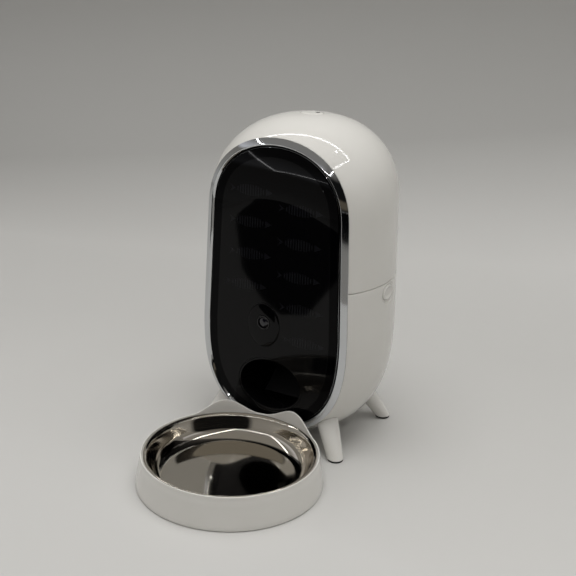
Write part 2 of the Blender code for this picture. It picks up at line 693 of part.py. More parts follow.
def make_upper_hood():
    inner_low = body_radius(HOOD_BOTTOM_Z, WALL), HOOD_BOTTOM_Z
    points = body_points([HOOD_BOTTOM_Z] + dome_heights())
    points += body_points(dome_heights(WALL), WALL)[::-1] + [inner_low]
    hood = node("upper_hood", body_lathe(points, closed=True), white_abs, (0, HINGE_Y, SEAM_Z))
    added = bmesh.new()
    knuckle(added, 1, -HINGE_MIDDLE_HALF_WIDTH, HINGE_MIDDLE_HALF_WIDTH)
    combine(hood, tool("hood_additions", added), "UNION")
    combine(hood, front_cut("hood_front_cut", CUT_Y), "DIFFERENCE")
    cuts = bmesh.new()
    top = TOP_Z + OVERRUN
    rod(cuts, across_z, TOP_BUTTON_RADIUS + FIT, 0, TOP_BUTTON_Y, top - 2 * OVERRUN - WALL, top, OVAL_POINTS)
    reach = HINGE_HALF_WIDTH + OVERRUN
    rod(cuts, across_x, HINGE_PIN_RADIUS + FIT, HINGE_Y, SEAM_Z, -reach, reach, PIN_POINTS)
    combine(hood, tool("hood_cuts", cuts), "DIFFERENCE")


def make_hinge_pin():
    bm = bmesh.new()
    rod(bm, across_x, HINGE_PIN_RADIUS, HINGE_Y, SEAM_Z, -HINGE_HALF_WIDTH, HINGE_HALF_WIDTH, PIN_POINTS)
    node("hinge_pin", bm, steel, (0, HINGE_Y, SEAM_Z))


def make_chrome_ring():
    bm = bmesh.new()
    proud_y = FACE_Y - RING_PROUD
    stations = [(0, FACE_Y), (0, FACE_Y - RING_EDGE), (RING_WIDTH - RING_LAND, proud_y)]
    stations += [(RING_WIDTH, proud_y), (RING_WIDTH, FACE_Y)]
    loft(bm, [face_loop(inset, y) for inset, y in stations], closed=True)
    node("chrome_ring", bm, chrome)


def make_front_frame():
    bm = bmesh.new()
    inner = RING_WIDTH + FIT
    stations = [(inner, FRAME_FRONT_Y), (inner, CUT_Y)]
    stations += [(FRAME_FLANGE_INSET, CUT_Y), (FRAME_FLANGE_INSET, FRAME_BACK_Y)]
    loft(bm, [face_loop(inset, y) for inset, y in stations])
    frame = node("front_frame", bm, black_plastic)
    cuts = bmesh.new()
    front, back = FRAME_FRONT_Y - OVERRUN, FRAME_BACK_Y + OVERRUN
    mouth = oval(OUTLET_HALF_WIDTH + FIT, OUTLET_HALF_HEIGHT + FIT, 0, OUTLET_Z, OVAL_POINTS)
    loft(cuts, [across_y(mouth, front), across_y(mouth, back)])
    rod(cuts, across_y, BARREL_RADIUS + FIT, CAMERA_X, LENS_Z, front, back, OVAL_POINTS)
    head, shaft = FRAME_SCREW_HEAD + FIT, FRAME_SCREW_RADIUS + FIT
    seat = FRAME_FRONT_Y + FIT + FRAME_SCREW_HEAD_HEIGHT + FIT
    for x, z in frame_screw_places():
        stages = [(head, front), (head, seat), (shaft, seat), (shaft, back)]
        stepped(cuts, across_y, stages, x, z, SMALL_POINTS)
    combine(frame, tool("frame_cuts", cuts), "DIFFERENCE")


def make_window_panel():
    bm = bmesh.new()
    inner = RING_WIDTH + FIT
    loft(bm, [face_loop(inner, WINDOW_FRONT_Y), face_loop(inner, WINDOW_BACK_Y)])
    panel = node("window_panel", bm, black_gloss)
    cuts = bmesh.new()
    front, back = WINDOW_FRONT_Y - OVERRUN, WINDOW_BACK_Y + OVERRUN
    mouth = oval(OUTLET_HALF_WIDTH + FIT, OUTLET_HALF_HEIGHT + FIT, 0, OUTLET_Z, OVAL_POINTS)
    loft(cuts, [across_y(mouth, front), across_y(mouth, back)])
    camera = oval(CAMERA_HALF_WIDTH + FIT, CAMERA_HALF_HEIGHT + FIT, CAMERA_X, CAMERA_Z, OVAL_POINTS)
    loft(cuts, [across_y(camera, front), across_y(camera, back)])
    combine(panel, tool("window_cuts", cuts), "DIFFERENCE")


def make_camera():
    bm = bmesh.new()
    plate = oval(CAMERA_HALF_WIDTH, CAMERA_HALF_HEIGHT, CAMERA_X, CAMERA_Z, OVAL_POINTS)
    loft(bm, [across_y(plate, WINDOW_FRONT_Y - BEZEL_PROUD), across_y(plate, WINDOW_BACK_Y)])
    bezel = node("camera_bezel", bm, black_gloss)
    cuts = bmesh.new()
    front, back = WINDOW_FRONT_Y - OVERRUN, WINDOW_BACK_Y + OVERRUN
    rod(cuts, across_y, BARREL_RADIUS + FIT, CAMERA_X, LENS_Z, front, back, OVAL_POINTS)
    combine(bezel, tool("bezel_cuts", cuts), "DIFFERENCE")

    bm = bmesh.new()
    ring = oval(BARREL_RADIUS, BARREL_RADIUS, CAMERA_X, LENS_Z, OVAL_POINTS)
    bore = oval(BARREL_RADIUS - BARREL_WALL, BARREL_RADIUS - BARREL_WALL, CAMERA_X, LENS_Z, OVAL_POINTS)
    barrel_front = LENS_FRONT_Y - BEZEL_PROUD
    stations = [(ring, barrel_front), (ring, FRAME_BACK_Y), (bore, FRAME_BACK_Y), (bore, barrel_front)]
    loft(bm, [across_y(points, y) for points, y in stations], closed=True)
    node("lens_barrel", bm, black_plastic)

    bm = bmesh.new()
    radius = BARREL_RADIUS - BARREL_WALL - FIT
    front = barrel_front + LENS_RECESS
    crown = radius * MIDDLE_SHARE
    stages = [(crown, front), (radius, front + LENS_DEPTH / 2), (radius, front + LENS_DEPTH)]
    stepped(bm, across_y, stages, CAMERA_X, LENS_Z, OVAL_POINTS)
    node("camera_lens", bm, lens_glass)

    bm = bmesh.new()
    half = CAMERA_BOX_WIDTH / 2
    low = CAMERA_X - half, INSIDE_FRONT_Y, CAMERA_Z - CAMERA_BOX_HEIGHT / 2
    high = CAMERA_X + half, INSIDE_FRONT_Y + CAMERA_BOX_DEPTH, CAMERA_Z + CAMERA_BOX_HEIGHT / 2
    box(bm, low, high)
    node("camera_housing", bm, grey_plastic)


def make_outlet_chute():
    bm = bmesh.new()
    outer = oval(OUTLET_HALF_WIDTH, OUTLET_HALF_HEIGHT, 0, OUTLET_Z, OVAL_POINTS)
    inner = oval(OUTLET_HALF_WIDTH - OUTLET_WALL, OUTLET_HALF_HEIGHT - OUTLET_WALL, 0, OUTLET_Z, OVAL_POINTS)
    back = OUTLET_BACK_Y - OUTLET_WALL
    stations = [(inner, back), (inner, WINDOW_FRONT_Y), (outer, WINDOW_FRONT_Y), (outer, OUTLET_BACK_Y)]
    loft(bm, [across_y(points, y) for points, y in stations])
    chute = node("outlet_chute", bm, black_plastic)
    cuts = bmesh.new()
    rod(cuts, across_z, DROP_RADIUS, 0, DROP_Y, OUTLET_Z, HOPPER_BOTTOM_Z + OVERRUN, OVAL_POINTS)
    combine(chute, tool("chute_cuts", cuts), "DIFFERENCE")

    bm = bmesh.new()
    share = math.sqrt(1 - (RAMP_HALF_WIDTH / (OUTLET_HALF_WIDTH - OUTLET_WALL)) ** 2)
    low_z = OUTLET_Z - (OUTLET_HALF_HEIGHT - OUTLET_WALL) * share + FIT
    rear = back - FIT
    toe = rear - RAMP_LENGTH
    profile = [(rear, low_z), (rear, low_z + RAMP_HEIGHT), (toe, low_z + FIT), (toe, low_z)]
    loft(bm, [across_x(profile, -RAMP_HALF_WIDTH), across_x(profile, RAMP_HALF_WIDTH)])
    node("chute_ramp", bm, black_plastic)


def hopper_loop(grow, centre_share, power_share, z):
    """A section of the hopper, from the round chamber (share 0) to the squared bin (share 1)."""
    half_x = CHAMBER_RADIUS + (HOPPER_HALF_WIDTH - CHAMBER_RADIUS) * centre_share + grow
    half_y = CHAMBER_RADIUS + (HOPPER_HALF_DEPTH - CHAMBER_RADIUS) * centre_share + grow
    centre_y = DRIVE_Y + (HOPPER_Y - DRIVE_Y) * centre_share
    power = 2 + (HOPPER_POWER - 2) * power_share
    return across_z(oval(half_x, half_y, 0, centre_y, HOPPER_POINTS, power), z)


def make_hopper():
    bm = bmesh.new()
    collar_z = DECK_TOP_Z + FIT
    collar_top = collar_z + HOPPER_COLLAR_THICKNESS
    middle_z = (SHOULDER_LOW_Z + SHOULDER_HIGH_Z) / 2
    half_share = MIDDLE_SHARE
    stations = [
        (0, 0, 0, HOPPER_BOTTOM_Z), (0, 0, 0, SHOULDER_LOW_Z), (0, half_share, half_share, middle_z),
        (0, 1, 1, SHOULDER_HIGH_Z), (0, 1, 1, collar_z), (HOPPER_COLLAR, 1, 1, collar_z),
        (HOPPER_COLLAR, 1, 1, collar_top), (0, 1, 1, collar_top), (0, 1, 1, HOPPER_RIM_Z),
        (-HOPPER_WALL, 1, 1, HOPPER_RIM_Z), (-HOPPER_WALL, 1, 1, SHOULDER_HIGH_Z),
        (-HOPPER_WALL, half_share, half_share, middle_z + HOPPER_WALL * WALL_BITE_SHARE),
        (-HOPPER_WALL, 0, 0, SHOULDER_LOW_Z), (-HOPPER_WALL, 0, 0, CHAMBER_FLOOR_Z),
    ]
    loft(bm, [hopper_loop(*station) for station in stations])
    hopper = node("hopper", bm, grey_plastic)
    cuts = bmesh.new()
    low, high = HOPPER_BOTTOM_Z - OVERRUN, CHAMBER_FLOOR_Z + OVERRUN
    rod(cuts, across_z, DROP_RADIUS, 0, DROP_Y, low, high, OVAL_POINTS)
    rod(cuts, across_z, SHAFT_RADIUS + FIT, 0, DRIVE_Y, low, high)
    combine(hopper, tool("hopper_cuts", cuts), "DIFFERENCE")


def rotor_outline():
    """A hub with straight vanes, seen from above."""
    tip = CHAMBER_RADIUS - HOPPER_WALL - ROTOR_CLEARANCE
    root_turn = math.asin(VANE_THICKNESS / 2 / ROTOR_HUB)
    tip_turn = math.asin(VANE_THICKNESS / 2 / tip)
    points = []
    for vane in range(VANES):
        turn = 2 * math.pi * vane / VANES
        corners = [(ROTOR_HUB, -root_turn), (tip, -tip_turn), (tip, tip_turn), (ROTOR_HUB, root_turn)]
        corners.append((ROTOR_HUB, math.pi / VANES))
        points += [(r * math.cos(turn + a), DRIVE_Y + r * math.sin(turn + a)) for r, a in corners]
    return points


def make_drive():
    origin = (0, DRIVE_Y, ROTOR_LOW_Z)
    bm = bmesh.new()
    loft(bm, [across_z(rotor_outline(), ROTOR_LOW_Z), across_z(rotor_outline(), ROTOR_HIGH_Z)])
    rotor = node("rotor", bm, grey_plastic, origin)
    cuts = bmesh.new()
    bore = SHAFT_RADIUS + FIT
    rod(cuts, across_z, bore, 0, DRIVE_Y, ROTOR_LOW_Z - OVERRUN, ROTOR_HIGH_Z + OVERRUN)
    combine(rotor, tool("rotor_cuts", cuts), "DIFFERENCE")

    hub_low = ROTOR_HIGH_Z + FIT
    hub_high = hub_low + AGITATOR_HEIGHT
    shaft_top = (hub_low + hub_high) / 2
    bm = bmesh.new()
    rod(bm, across_z, SHAFT_RADIUS, 0, DRIVE_Y, MOTOR_TOP_Z + FIT, shaft_top)
    node("rotor_shaft", bm, steel, origin)

    bm = bmesh.new()
    rod(bm, across_z, ROTOR_HUB, 0, DRIVE_Y, hub_low, hub_high, OVAL_POINTS)
    agitator = node("agitator", bm, grey_plastic, origin)
    bar = bmesh.new()
    half = AGITATOR_BAR / 2
    bar_low = hub_low + FIT
    box(
        bar, (-AGITATOR_HALF_LENGTH, DRIVE_Y - half, bar_low),
        (AGITATOR_HALF_LENGTH, DRIVE_Y + half, bar_low + AGITATOR_BAR),
    )
    combine(agitator, tool("agitator_bar", bar), "UNION")
    cuts = bmesh.new()
    rod(cuts, across_z, bore, 0, DRIVE_Y, hub_low - OVERRUN, shaft_top + FIT)
    combine(agitator, tool("agitator_cuts", cuts), "DIFFERENCE")

    bm = bmesh.new()
    low_z = MOTOR_TOP_Z - MOTOR_HEIGHT
    back_y = MOTOR_FRONT_Y + MOTOR_LENGTH
    box(bm, (-MOTOR_HALF_WIDTH, MOTOR_FRONT_Y, low_z), (MOTOR_HALF_WIDTH, back_y, MOTOR_TOP_Z))
    motor = node("gear_motor", bm, grey_plastic)
    can = bmesh.new()
    can_y = back_y - MOTOR_CAN_RADIUS - MOTOR_PLATE_MARGIN
    rod(can, across_z, MOTOR_CAN_RADIUS, 0, can_y, low_z - MOTOR_CAN_HEIGHT, low_z + OVERRUN, OVAL_POINTS)
    combine(motor, tool("motor_can", can), "UNION")

    bm = bmesh.new()
    reach = MOTOR_HALF_WIDTH + 2 * MOTOR_PLATE_MARGIN
    low = -reach, MOTOR_FRONT_Y - MOTOR_FRONT_GAP / 2, MOTOR_PLATE_Z
    box(bm, low, (reach, back_y + MOTOR_PLATE_MARGIN, MOTOR_PLATE_TOP_Z))
    plate = node("motor_plate", bm, steel)
    cuts = bmesh.new()
    rod(cuts, across_z, bore, 0, DRIVE_Y, MOTOR_PLATE_Z - OVERRUN, MOTOR_PLATE_TOP_Z + OVERRUN)
    combine(plate, tool("plate_cuts", cuts), "DIFFERENCE")


def make_deck():
    radius = body_radius(DECK_BOTTOM_Z, WALL + FIT) - BAND_TAPER * DECK_THICKNESS / DOME_Z
    outline = oval(radius, radius * DEPTH_RATIO, 0, 0, BODY_SEGMENTS)
    bm = bmesh.new()
    loft(bm, [across_z(outline, DECK_BOTTOM_Z), across_z(outline, DECK_TOP_Z)])
    deck = node("hopper_deck", bm, grey_plastic)
    cuts = bmesh.new()
    low, high = DECK_BOTTOM_Z - OVERRUN, DECK_TOP_Z + OVERRUN
    loft(cuts, [hopper_loop(FIT, 1, 1, low), hopper_loop(FIT, 1, 1, high)])
    notch = LATCH_HALF_WIDTH + LATCH_FLANGE + FIT
    inner = LATCH_FLANGE_X - LATCH_FLANGE_THICKNESS - LATCH_TRAVEL - LATCH_ARM_THICKNESS - FIT
    for side in (-1, 1):
        ends = sorted((side * inner, side * (WAIST_RADIUS + OVERRUN)))
        box(cuts, (ends[0], LATCH_Y - notch, low), (ends[1], LATCH_Y + notch, high))
    combine(deck, tool("deck_cuts", cuts), "DIFFERENCE")
    combine(deck, front_cut("deck_front_cut", INSIDE_FRONT_Y), "DIFFERENCE")


def make_electronics():
    bm = bmesh.new()
    low = -BOARD_HALF_WIDTH, BOARD_Y, BOARD_LOW_Z
    box(bm, low, (BOARD_HALF_WIDTH, BOARD_Y + BOARD_THICKNESS, BOARD_HIGH_Z))
    node("main_board", bm, board_green)

    bm = bmesh.new()
    back = half_depth(SOCKET_Z - SOCKET_RADIUS, 0) - SOCKET_RECESS
    start = BOARD_Y + BOARD_THICKNESS + FIT
    stages = [(SOCKET_RADIUS, start), (SOCKET_RADIUS, back)]
    stages += [(SOCKET_BORE, back), (SOCKET_BORE, back - SOCKET_DEPTH)]
    stepped(bm, across_y, stages, 0, SOCKET_Z, OVAL_POINTS)
    node("power_socket", bm, black_plastic)

    bm = bmesh.new()
    rod(
        bm, across_y, SPEAKER_RADIUS, SPEAKER_X, SPEAKER_Z, INSIDE_FRONT_Y, INSIDE_FRONT_Y + SPEAKER_DEPTH,
        OVAL_POINTS,
    )
    node("speaker", bm, steel)


def make_base():
    rim = body_radius(UNDERSIDE_Z) - BASE_RIM - FIT
    outline = oval(rim, rim * DEPTH_RATIO, 0, 0, BODY_SEGMENTS)
    top = BASE_PLATE_Z + BASE_PLATE_THICKNESS
    bm = bmesh.new()
    loft(bm, [across_z(outline, BASE_PLATE_Z), across_z(outline, top)])
    plate = node("base_plate", bm, white_abs)
    inside = BATTERY_HALF_WIDTH - BATTERY_WALL, BATTERY_HALF_DEPTH - BATTERY_WALL
    door_x, door_y = inside[0] - DOOR_LEDGE, inside[1] - DOOR_LEDGE
    cuts = bmesh.new()
    low, high = BASE_PLATE_Z - OVERRUN, top + OVERRUN
    box(cuts, (-door_x, -door_y, low), (door_x, door_y, high))
    for x, y in base_screw_places():
        rod(cuts, across_z, BASE_SCREW_RADIUS + FIT, x, y, low, high)
    combine(plate, tool("base_cuts", cuts), "DIFFERENCE")

    bm = bmesh.new()
    box(bm, (FIT - door_x, FIT - door_y, BASE_PLATE_Z), (door_x - FIT, door_y - FIT, top))
    node("battery_door", bm, white_abs, (0, 0, BASE_PLATE_Z))

    bm = bmesh.new()
    high = BATTERY_Z + BATTERY_HEIGHT
    low = -BATTERY_HALF_WIDTH, -BATTERY_HALF_DEPTH, BATTERY_Z
    box(bm, low, (BATTERY_HALF_WIDTH, BATTERY_HALF_DEPTH, high))
    case = node("battery_box", bm, black_plastic)
    cuts = bmesh.new()
    box(cuts, (-inside[0], -inside[1], BATTERY_Z - OVERRUN), (*inside, high - BATTERY_WALL))
    combine(case, tool("battery_cuts", cuts), "DIFFERENCE")


def make_inner_lid():
    bm = bmesh.new()
    radius = body_radius(LINER_TOP_Z, WALL + LINER_EDGE_GAP)
    outline = oval(radius, radius * DEPTH_RATIO, 0, body_lean(LINER_TOP_Z), BODY_SEGMENTS)
    loft(bm, [across_z(outline, LINER_Z), across_z(outline, LINER_TOP_Z)])
    liner = node("hood_liner", bm, grey_plastic)
    combine(liner, front_cut("liner_front_cut", INSIDE_FRONT_Y + LINER_FRONT_GAP), "DIFFERENCE")

    bm = bmesh.new()
    top = SEAL_Z + SEAL_THICKNESS
    stations = [(0, SEAL_Z), (0, top), (-SEAL_WIDTH, top), (-SEAL_WIDTH, SEAL_Z)]
    loft(bm, [hopper_loop(grow, 1, 1, z) for grow, z in stations], closed=True)
    node("liner_seal", bm, rubber)

    top = LINER_Z - FIT
    low = top - CAP_DEPTH
    inner = CAP_RADIUS - CAP_WALL
    bm = bmesh.new()
    stages = [(CAP_RADIUS, low), (CAP_RADIUS, top), (inner, top), (inner, low + CAP_WALL)]
    stepped(bm, across_z, stages, 0, HOPPER_Y, OVAL_POINTS)
    node("desiccant_cap", bm, grey_plastic, (0, HOPPER_Y, low))


def make_top_button():
    origin = (0, TOP_BUTTON_Y, TOP_FLANGE_Z)
    flange = TOP_BUTTON_RADIUS + TOP_BUTTON_FLANGE
    rounded = TOP_BUTTON_RADIUS - TOP_BUTTON_EDGE
    stages = [(BUTTON_STEM_RADIUS, STEM_Z), (BUTTON_STEM_RADIUS, TOP_FLANGE_Z), (flange, TOP_FLANGE_Z)]
    stages += [(flange, TOP_FLANGE_TOP_Z), (TOP_BUTTON_RADIUS, TOP_FLANGE_TOP_Z)]
    stages += [(TOP_BUTTON_RADIUS, TOP_BUTTON_Z - TOP_BUTTON_EDGE), (rounded, TOP_BUTTON_Z)]
    bm = bmesh.new()
    stepped(bm, across_z, stages, 0, TOP_BUTTON_Y, OVAL_POINTS)
    node("top_button", bm, white_abs, origin)

    bm = bmesh.new()
    start = LINER_TOP_Z + FIT
    rod(bm, across_z, SWITCH_POST_RADIUS, 0, TOP_BUTTON_Y, start, SWITCH_POST_TOP_Z, OVAL_POINTS)
    node("switch_post", bm, grey_plastic)

    bm = bmesh.new()
    half = SWITCH_WIDTH / 2
    low = -half, TOP_BUTTON_Y - half, SWITCH_POST_TOP_Z + FIT
    box(bm, low, (half, TOP_BUTTON_Y + half, SWITCH_TOP_Z))
    node("top_switch", bm, black_plastic)

    curve = bpy.data.curves.new("top_button_spring", "CURVE")
    curve.dimensions = "3D"
    curve.bevel_depth = SPRING_WIRE
    curve.bevel_resolution = 1
    curve.use_fill_caps = True
    count = SPRING_TURNS * SPRING_POINTS
    path = curve.splines.new("POLY")
    path.points.add(count)
    low, high = SPRING_Z + SPRING_WIRE, SPRING_TOP_Z - SPRING_WIRE
    for step in range(count + 1):
        turn = 2 * math.pi * step / SPRING_POINTS
        z = low + (high - low) * step / count
        across = SPRING_RADIUS * math.cos(turn), TOP_BUTTON_Y + SPRING_RADIUS * math.sin(turn)
        path.points[step].co = (*across, z, 1)
    spring = bpy.data.objects.new("top_button_spring", curve)
    bpy.context.collection.objects.link(spring)
    curve.materials.append(steel)
    spring.parent = body_axis


def make_latch_button(side, name):
    """An oval button with a flange behind the wall and a leaf that springs it back."""
    face = side * LATCH_FACE_X
    seat = side * LATCH_FLANGE_X
    back = side * (LATCH_FLANGE_X - LATCH_FLANGE_THICKNESS)
    button = oval(LATCH_HALF_WIDTH, LATCH_HALF_HEIGHT, LATCH_Y, LATCH_Z, OVAL_POINTS)
    flange = LATCH_HALF_WIDTH + LATCH_FLANGE, LATCH_HALF_HEIGHT + LATCH_FLANGE
    wide = oval(*flange, LATCH_Y, LATCH_Z, OVAL_POINTS)
    bm = bmesh.new()
    stations = [(button, face), (button, seat), (wide, seat), (wide, back)]
    loft(bm, [across_x(points, x) for points, x in stations])
    piece = node(name, bm, white_abs, (seat, LATCH_Y, LATCH_Z))
    arm = bmesh.new()
    half = LATCH_ARM_WIDTH / 2
    ends = sorted((back - side * LATCH_ARM_THICKNESS, back + side * LATCH_FLANGE_THICKNESS / 2))
    low_z = LATCH_Z - LATCH_ARM_LENGTH
    box(arm, (ends[0], LATCH_Y - half, low_z), (ends[1], LATCH_Y + half, LATCH_Z))
    combine(piece, tool(name + "_arm", arm), "UNION")
    pad = bmesh.new()
    wall = side * (half_width(low_z + LATCH_ARM_PAD, LATCH_Y + half, WALL) - FIT)
    ends = sorted((back, wall))
    box(pad, (ends[0], LATCH_Y - half, low_z), (ends[1], LATCH_Y + half, low_z + LATCH_ARM_PAD))
    combine(piece, tool(name + "_pad", pad), "UNION")


def make_legs():
    heights = belly_heights(UNDERSIDE_Z - FIT, -FIT)
    blank_points = [(0, WAIST_Z)] + body_points(heights, -FIT) + [(0, heights[-1])]
    blank = tool("body_blank", body_lathe(blank_points))
    low_z = FOOT_PAD_THICKNESS + FIT
    for front in (-1, 1):
        for side in (-1, 1):
            row = "front" if front < 0 else "rear"
            hand = "left" if side < 0 else "right"
            foot = Vector((side * FOOT_X, front * FOOT_Y))
            top = foot - foot.normalized() * LEG_SHIFT
            stages = [(FOOT_RADIUS - FOOT_EDGE, foot, low_z), (FOOT_RADIUS, foot, low_z + FOOT_EDGE)]
            stages.append((LEG_TOP_RADIUS, top, LEG_TOP_Z))
            bm = bmesh.new()
            loft(bm, [across_z(oval(r, r, *centre, LEG_POINTS), z) for r, centre, z in stages])
            combine(node(f"leg_{row}_{hand}", bm, white_abs), blank, "DIFFERENCE")
            bm = bmesh.new()
            rod(bm, across_z, FOOT_PAD_RADIUS, *foot, 0, FOOT_PAD_THICKNESS, LEG_POINTS)
            node(f"foot_pad_{row}_{hand}", bm, rubber)


def ear_rise(x, y):
    """How far the tray's wall is raised at a point, in two ear-like swells at its rear."""
    turn = math.atan2(y, x) - math.pi / 2 - TRAY_TURN
    rise = 0
    for side in (-1, 1):
        share = abs(turn - side * EAR_ANGLE) / EAR_HALF_SPAN
        if share < 1:
            rise = max(rise, EAR_HEIGHT * math.cos(share * math.pi / 2) ** 2)
    return rise


def make_bowl_tray():
    slope = (TRAY_BASE_RADIUS - TRAY_RIM_RADIUS) / (TRAY_HEIGHT - TRAY_RAISE)
    half_wall = TRAY_RIM_WALL / 2
    ear_root = TRAY_LEDGE_Z - TRAY_WALL
    skirt_top = TRAY_BASE_RADIUS - TRAY_WALL - slope * (TRAY_CHANNEL_TOP - TRAY_RAISE)
    points = [(TRAY_BASE_RADIUS, TRAY_RAISE), (TRAY_BASE_RADIUS - slope * (ear_root - TRAY_RAISE), ear_root)]
    points += [(TRAY_RIM_RADIUS, TRAY_HEIGHT - half_wall), (TRAY_RIM_RADIUS - half_wall, TRAY_HEIGHT)]
    points += [(TRAY_LEDGE_OUTER, TRAY_HEIGHT - half_wall), (TRAY_LEDGE_OUTER, TRAY_LEDGE_Z)]
    points.append((TRAY_LEDGE_INNER, TRAY_LEDGE_Z))
    points += [(TRAY_LEDGE_INNER, TRAY_WELL_FLOOR_Z), (0, TRAY_WELL_FLOOR_Z), (0, TRAY_FLOOR_Z)]
    points += [(TRAY_LEDGE_INNER + TRAY_WALL, TRAY_FLOOR_Z), (TRAY_LEDGE_INNER + TRAY_WALL, TRAY_CHANNEL_TOP)]
    points += [(skirt_top, TRAY_CHANNEL_TOP), (TRAY_BASE_RADIUS - TRAY_WALL, TRAY_RAISE)]
    bm = lathe(points[9:] + points[:9], TRAY_SEGMENTS)
    for vert in bm.verts:
        if vert.co.z > TRAY_LEDGE_Z + MERGE:
            vert.co.z += ear_rise(vert.co.x, vert.co.y)
    bmesh.ops.translate(bm, verts=bm.verts, vec=(TRAY_X, TRAY_Y, 0))
    node("bowl_tray", bm, white_abs, (TRAY_X, TRAY_Y, 0))
    for step in range(TRAY_PADS):
        turn = 2 * math.pi * step / TRAY_PADS + math.pi / 2
        x = TRAY_X + TRAY_PAD_CIRCLE * math.cos(turn)
        y = TRAY_Y + TRAY_PAD_CIRCLE * math.sin(turn)
        bm = bmesh.new()
        rod(bm, across_z, TRAY_PAD_RADIUS, x, y, 0, TRAY_FLOOR_Z - FIT, LEG_POINTS)
        node(f"tray_pad_{step + 1}", bm, rubber)


def make_steel_bowl():
    floor = BOWL_FLOOR_Z
    lip_top = BOWL_LIP_Z + 2 * BOWL_LIP_ROLL
    shelf = floor + BOWL_SHELF_RISE
    inner = [(0, floor + BOWL_SHEET), (BOWL_FLOOR_RADIUS, floor + BOWL_SHEET)]
    inner.append((BOWL_SHELF_IN, shelf + BOWL_SHEET))
    inner += [(BOWL_WALL_FOOT - BOWL_SHEET, floor + BOWL_WALL_FOOT_RISE + BOWL_SHEET)]
    inner += [(BOWL_WALL_TOP - BOWL_SHEET, lip_top - BOWL_LIP_ROLL), (BOWL_WALL_TOP, lip_top)]
    lip = [(BOWL_LIP_RADIUS - BOWL_LIP_ROLL, lip_top), (BOWL_LIP_RADIUS, lip_top - BOWL_LIP_ROLL)]
    lip += [(BOWL_LIP_RADIUS - BOWL_LIP_ROLL, BOWL_LIP_Z), (BOWL_WALL_TOP, BOWL_LIP_Z)]
    outer = [(BOWL_WALL_FOOT, floor + BOWL_WALL_FOOT_RISE), (BOWL_SHELF_IN, shelf)]
    outer += [(BOWL_FLOOR_RADIUS, floor), (0, floor)]
    bm = lathe(inner + lip + outer, BOWL_SEGMENTS)
    bmesh.ops.translate(bm, verts=bm.verts, vec=(TRAY_X, TRAY_Y, 0))
    node("steel_bowl", bm, steel, (TRAY_X, TRAY_Y, 0))


def make_screws():
    for index, (x, z) in enumerate(frame_screw_places(), 1):
        start = FRAME_FRONT_Y + FIT
        under = start + FRAME_SCREW_HEAD_HEIGHT
        stages = [(FRAME_SCREW_HEAD, start), (FRAME_SCREW_HEAD, under), (FRAME_SCREW_RADIUS, under)]
        stages.append((FRAME_SCREW_RADIUS, start + FRAME_SCREW_LENGTH))
        bm = bmesh.new()
        stepped(bm, across_y, stages, x, z, SMALL_POINTS)
        node(f"frame_screw_{index}", bm, steel)
    for index, (x, y) in enumerate(base_screw_places(), 1):
        under = BASE_PLATE_Z - FIT
        stages = [(BASE_SCREW_HEAD, under - BASE_SCREW_HEAD_HEIGHT), (BASE_SCREW_HEAD, under)]
        stages += [(BASE_SCREW_RADIUS, under), (BASE_SCREW_RADIUS, under + BASE_SCREW_LENGTH)]
        bm = bmesh.new()
        stepped(bm, across_z, stages, x, y, SMALL_POINTS)
        node(f"base_screw_{index}", bm, steel)


for old in list(bpy.data.objects):
    bpy.data.objects.remove(old)

body_axis = bpy.data.objects.new("body_axis", None)
body_axis.location = (0, AXIS_Y, 0)
bpy.context.collection.objects.link(body_axis)

white_abs = material("gloss_white_abs", (0.80, 0.79, 0.75), 0.2)
black_gloss = material("gloss_black_acrylic", (0.01, 0.01, 0.011), 0.08)
black_plastic = material("black_plastic", (0.02, 0.02, 0.022), 0.4)
grey_plastic = material("grey_plastic", (0.35, 0.36, 0.37), 0.45)
chrome = material("chrome", (0.80, 0.80, 0.82), 0.06, 1)
steel = material("stainless_steel", (0.60, 0.60, 0.61), 0.15, 1)
rubber = material("dark_rubber", (0.03, 0.03, 0.03), 0.8)
lens_glass = material("lens_glass", (0.02, 0.02, 0.05), 0.03)
board_green = material("circuit_board", (0.02, 0.16, 0.06), 0.5)

make_lower_shell()
make_upper_hood()
make_hinge_pin()
make_chrome_ring()
make_front_frame()
make_window_panel()
make_camera()
make_outlet_chute()
make_hopper()
make_drive()
make_deck()
make_electronics()
make_base()
make_inner_lid()
make_top_button()
make_latch_button(1, "latch_button_right")
make_latch_button(-1, "latch_button_left")
make_legs()
make_bowl_tray()
make_steel_bowl()
make_screws()
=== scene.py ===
# %% [markdown]
# # A pet feeder with a camera
# The real object is an egg-shaped dispenser of gloss white plastic on four splayed legs. Its front is cut off
# flat and closed by a dark panel in a bright ring. A loose round tray with a steel bowl stands in front of it.
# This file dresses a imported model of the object, so every piece is placed in that model's own frame, in metres.

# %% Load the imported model
import json
import math

import bmesh
import bpy
from mathutils import Matrix, Vector


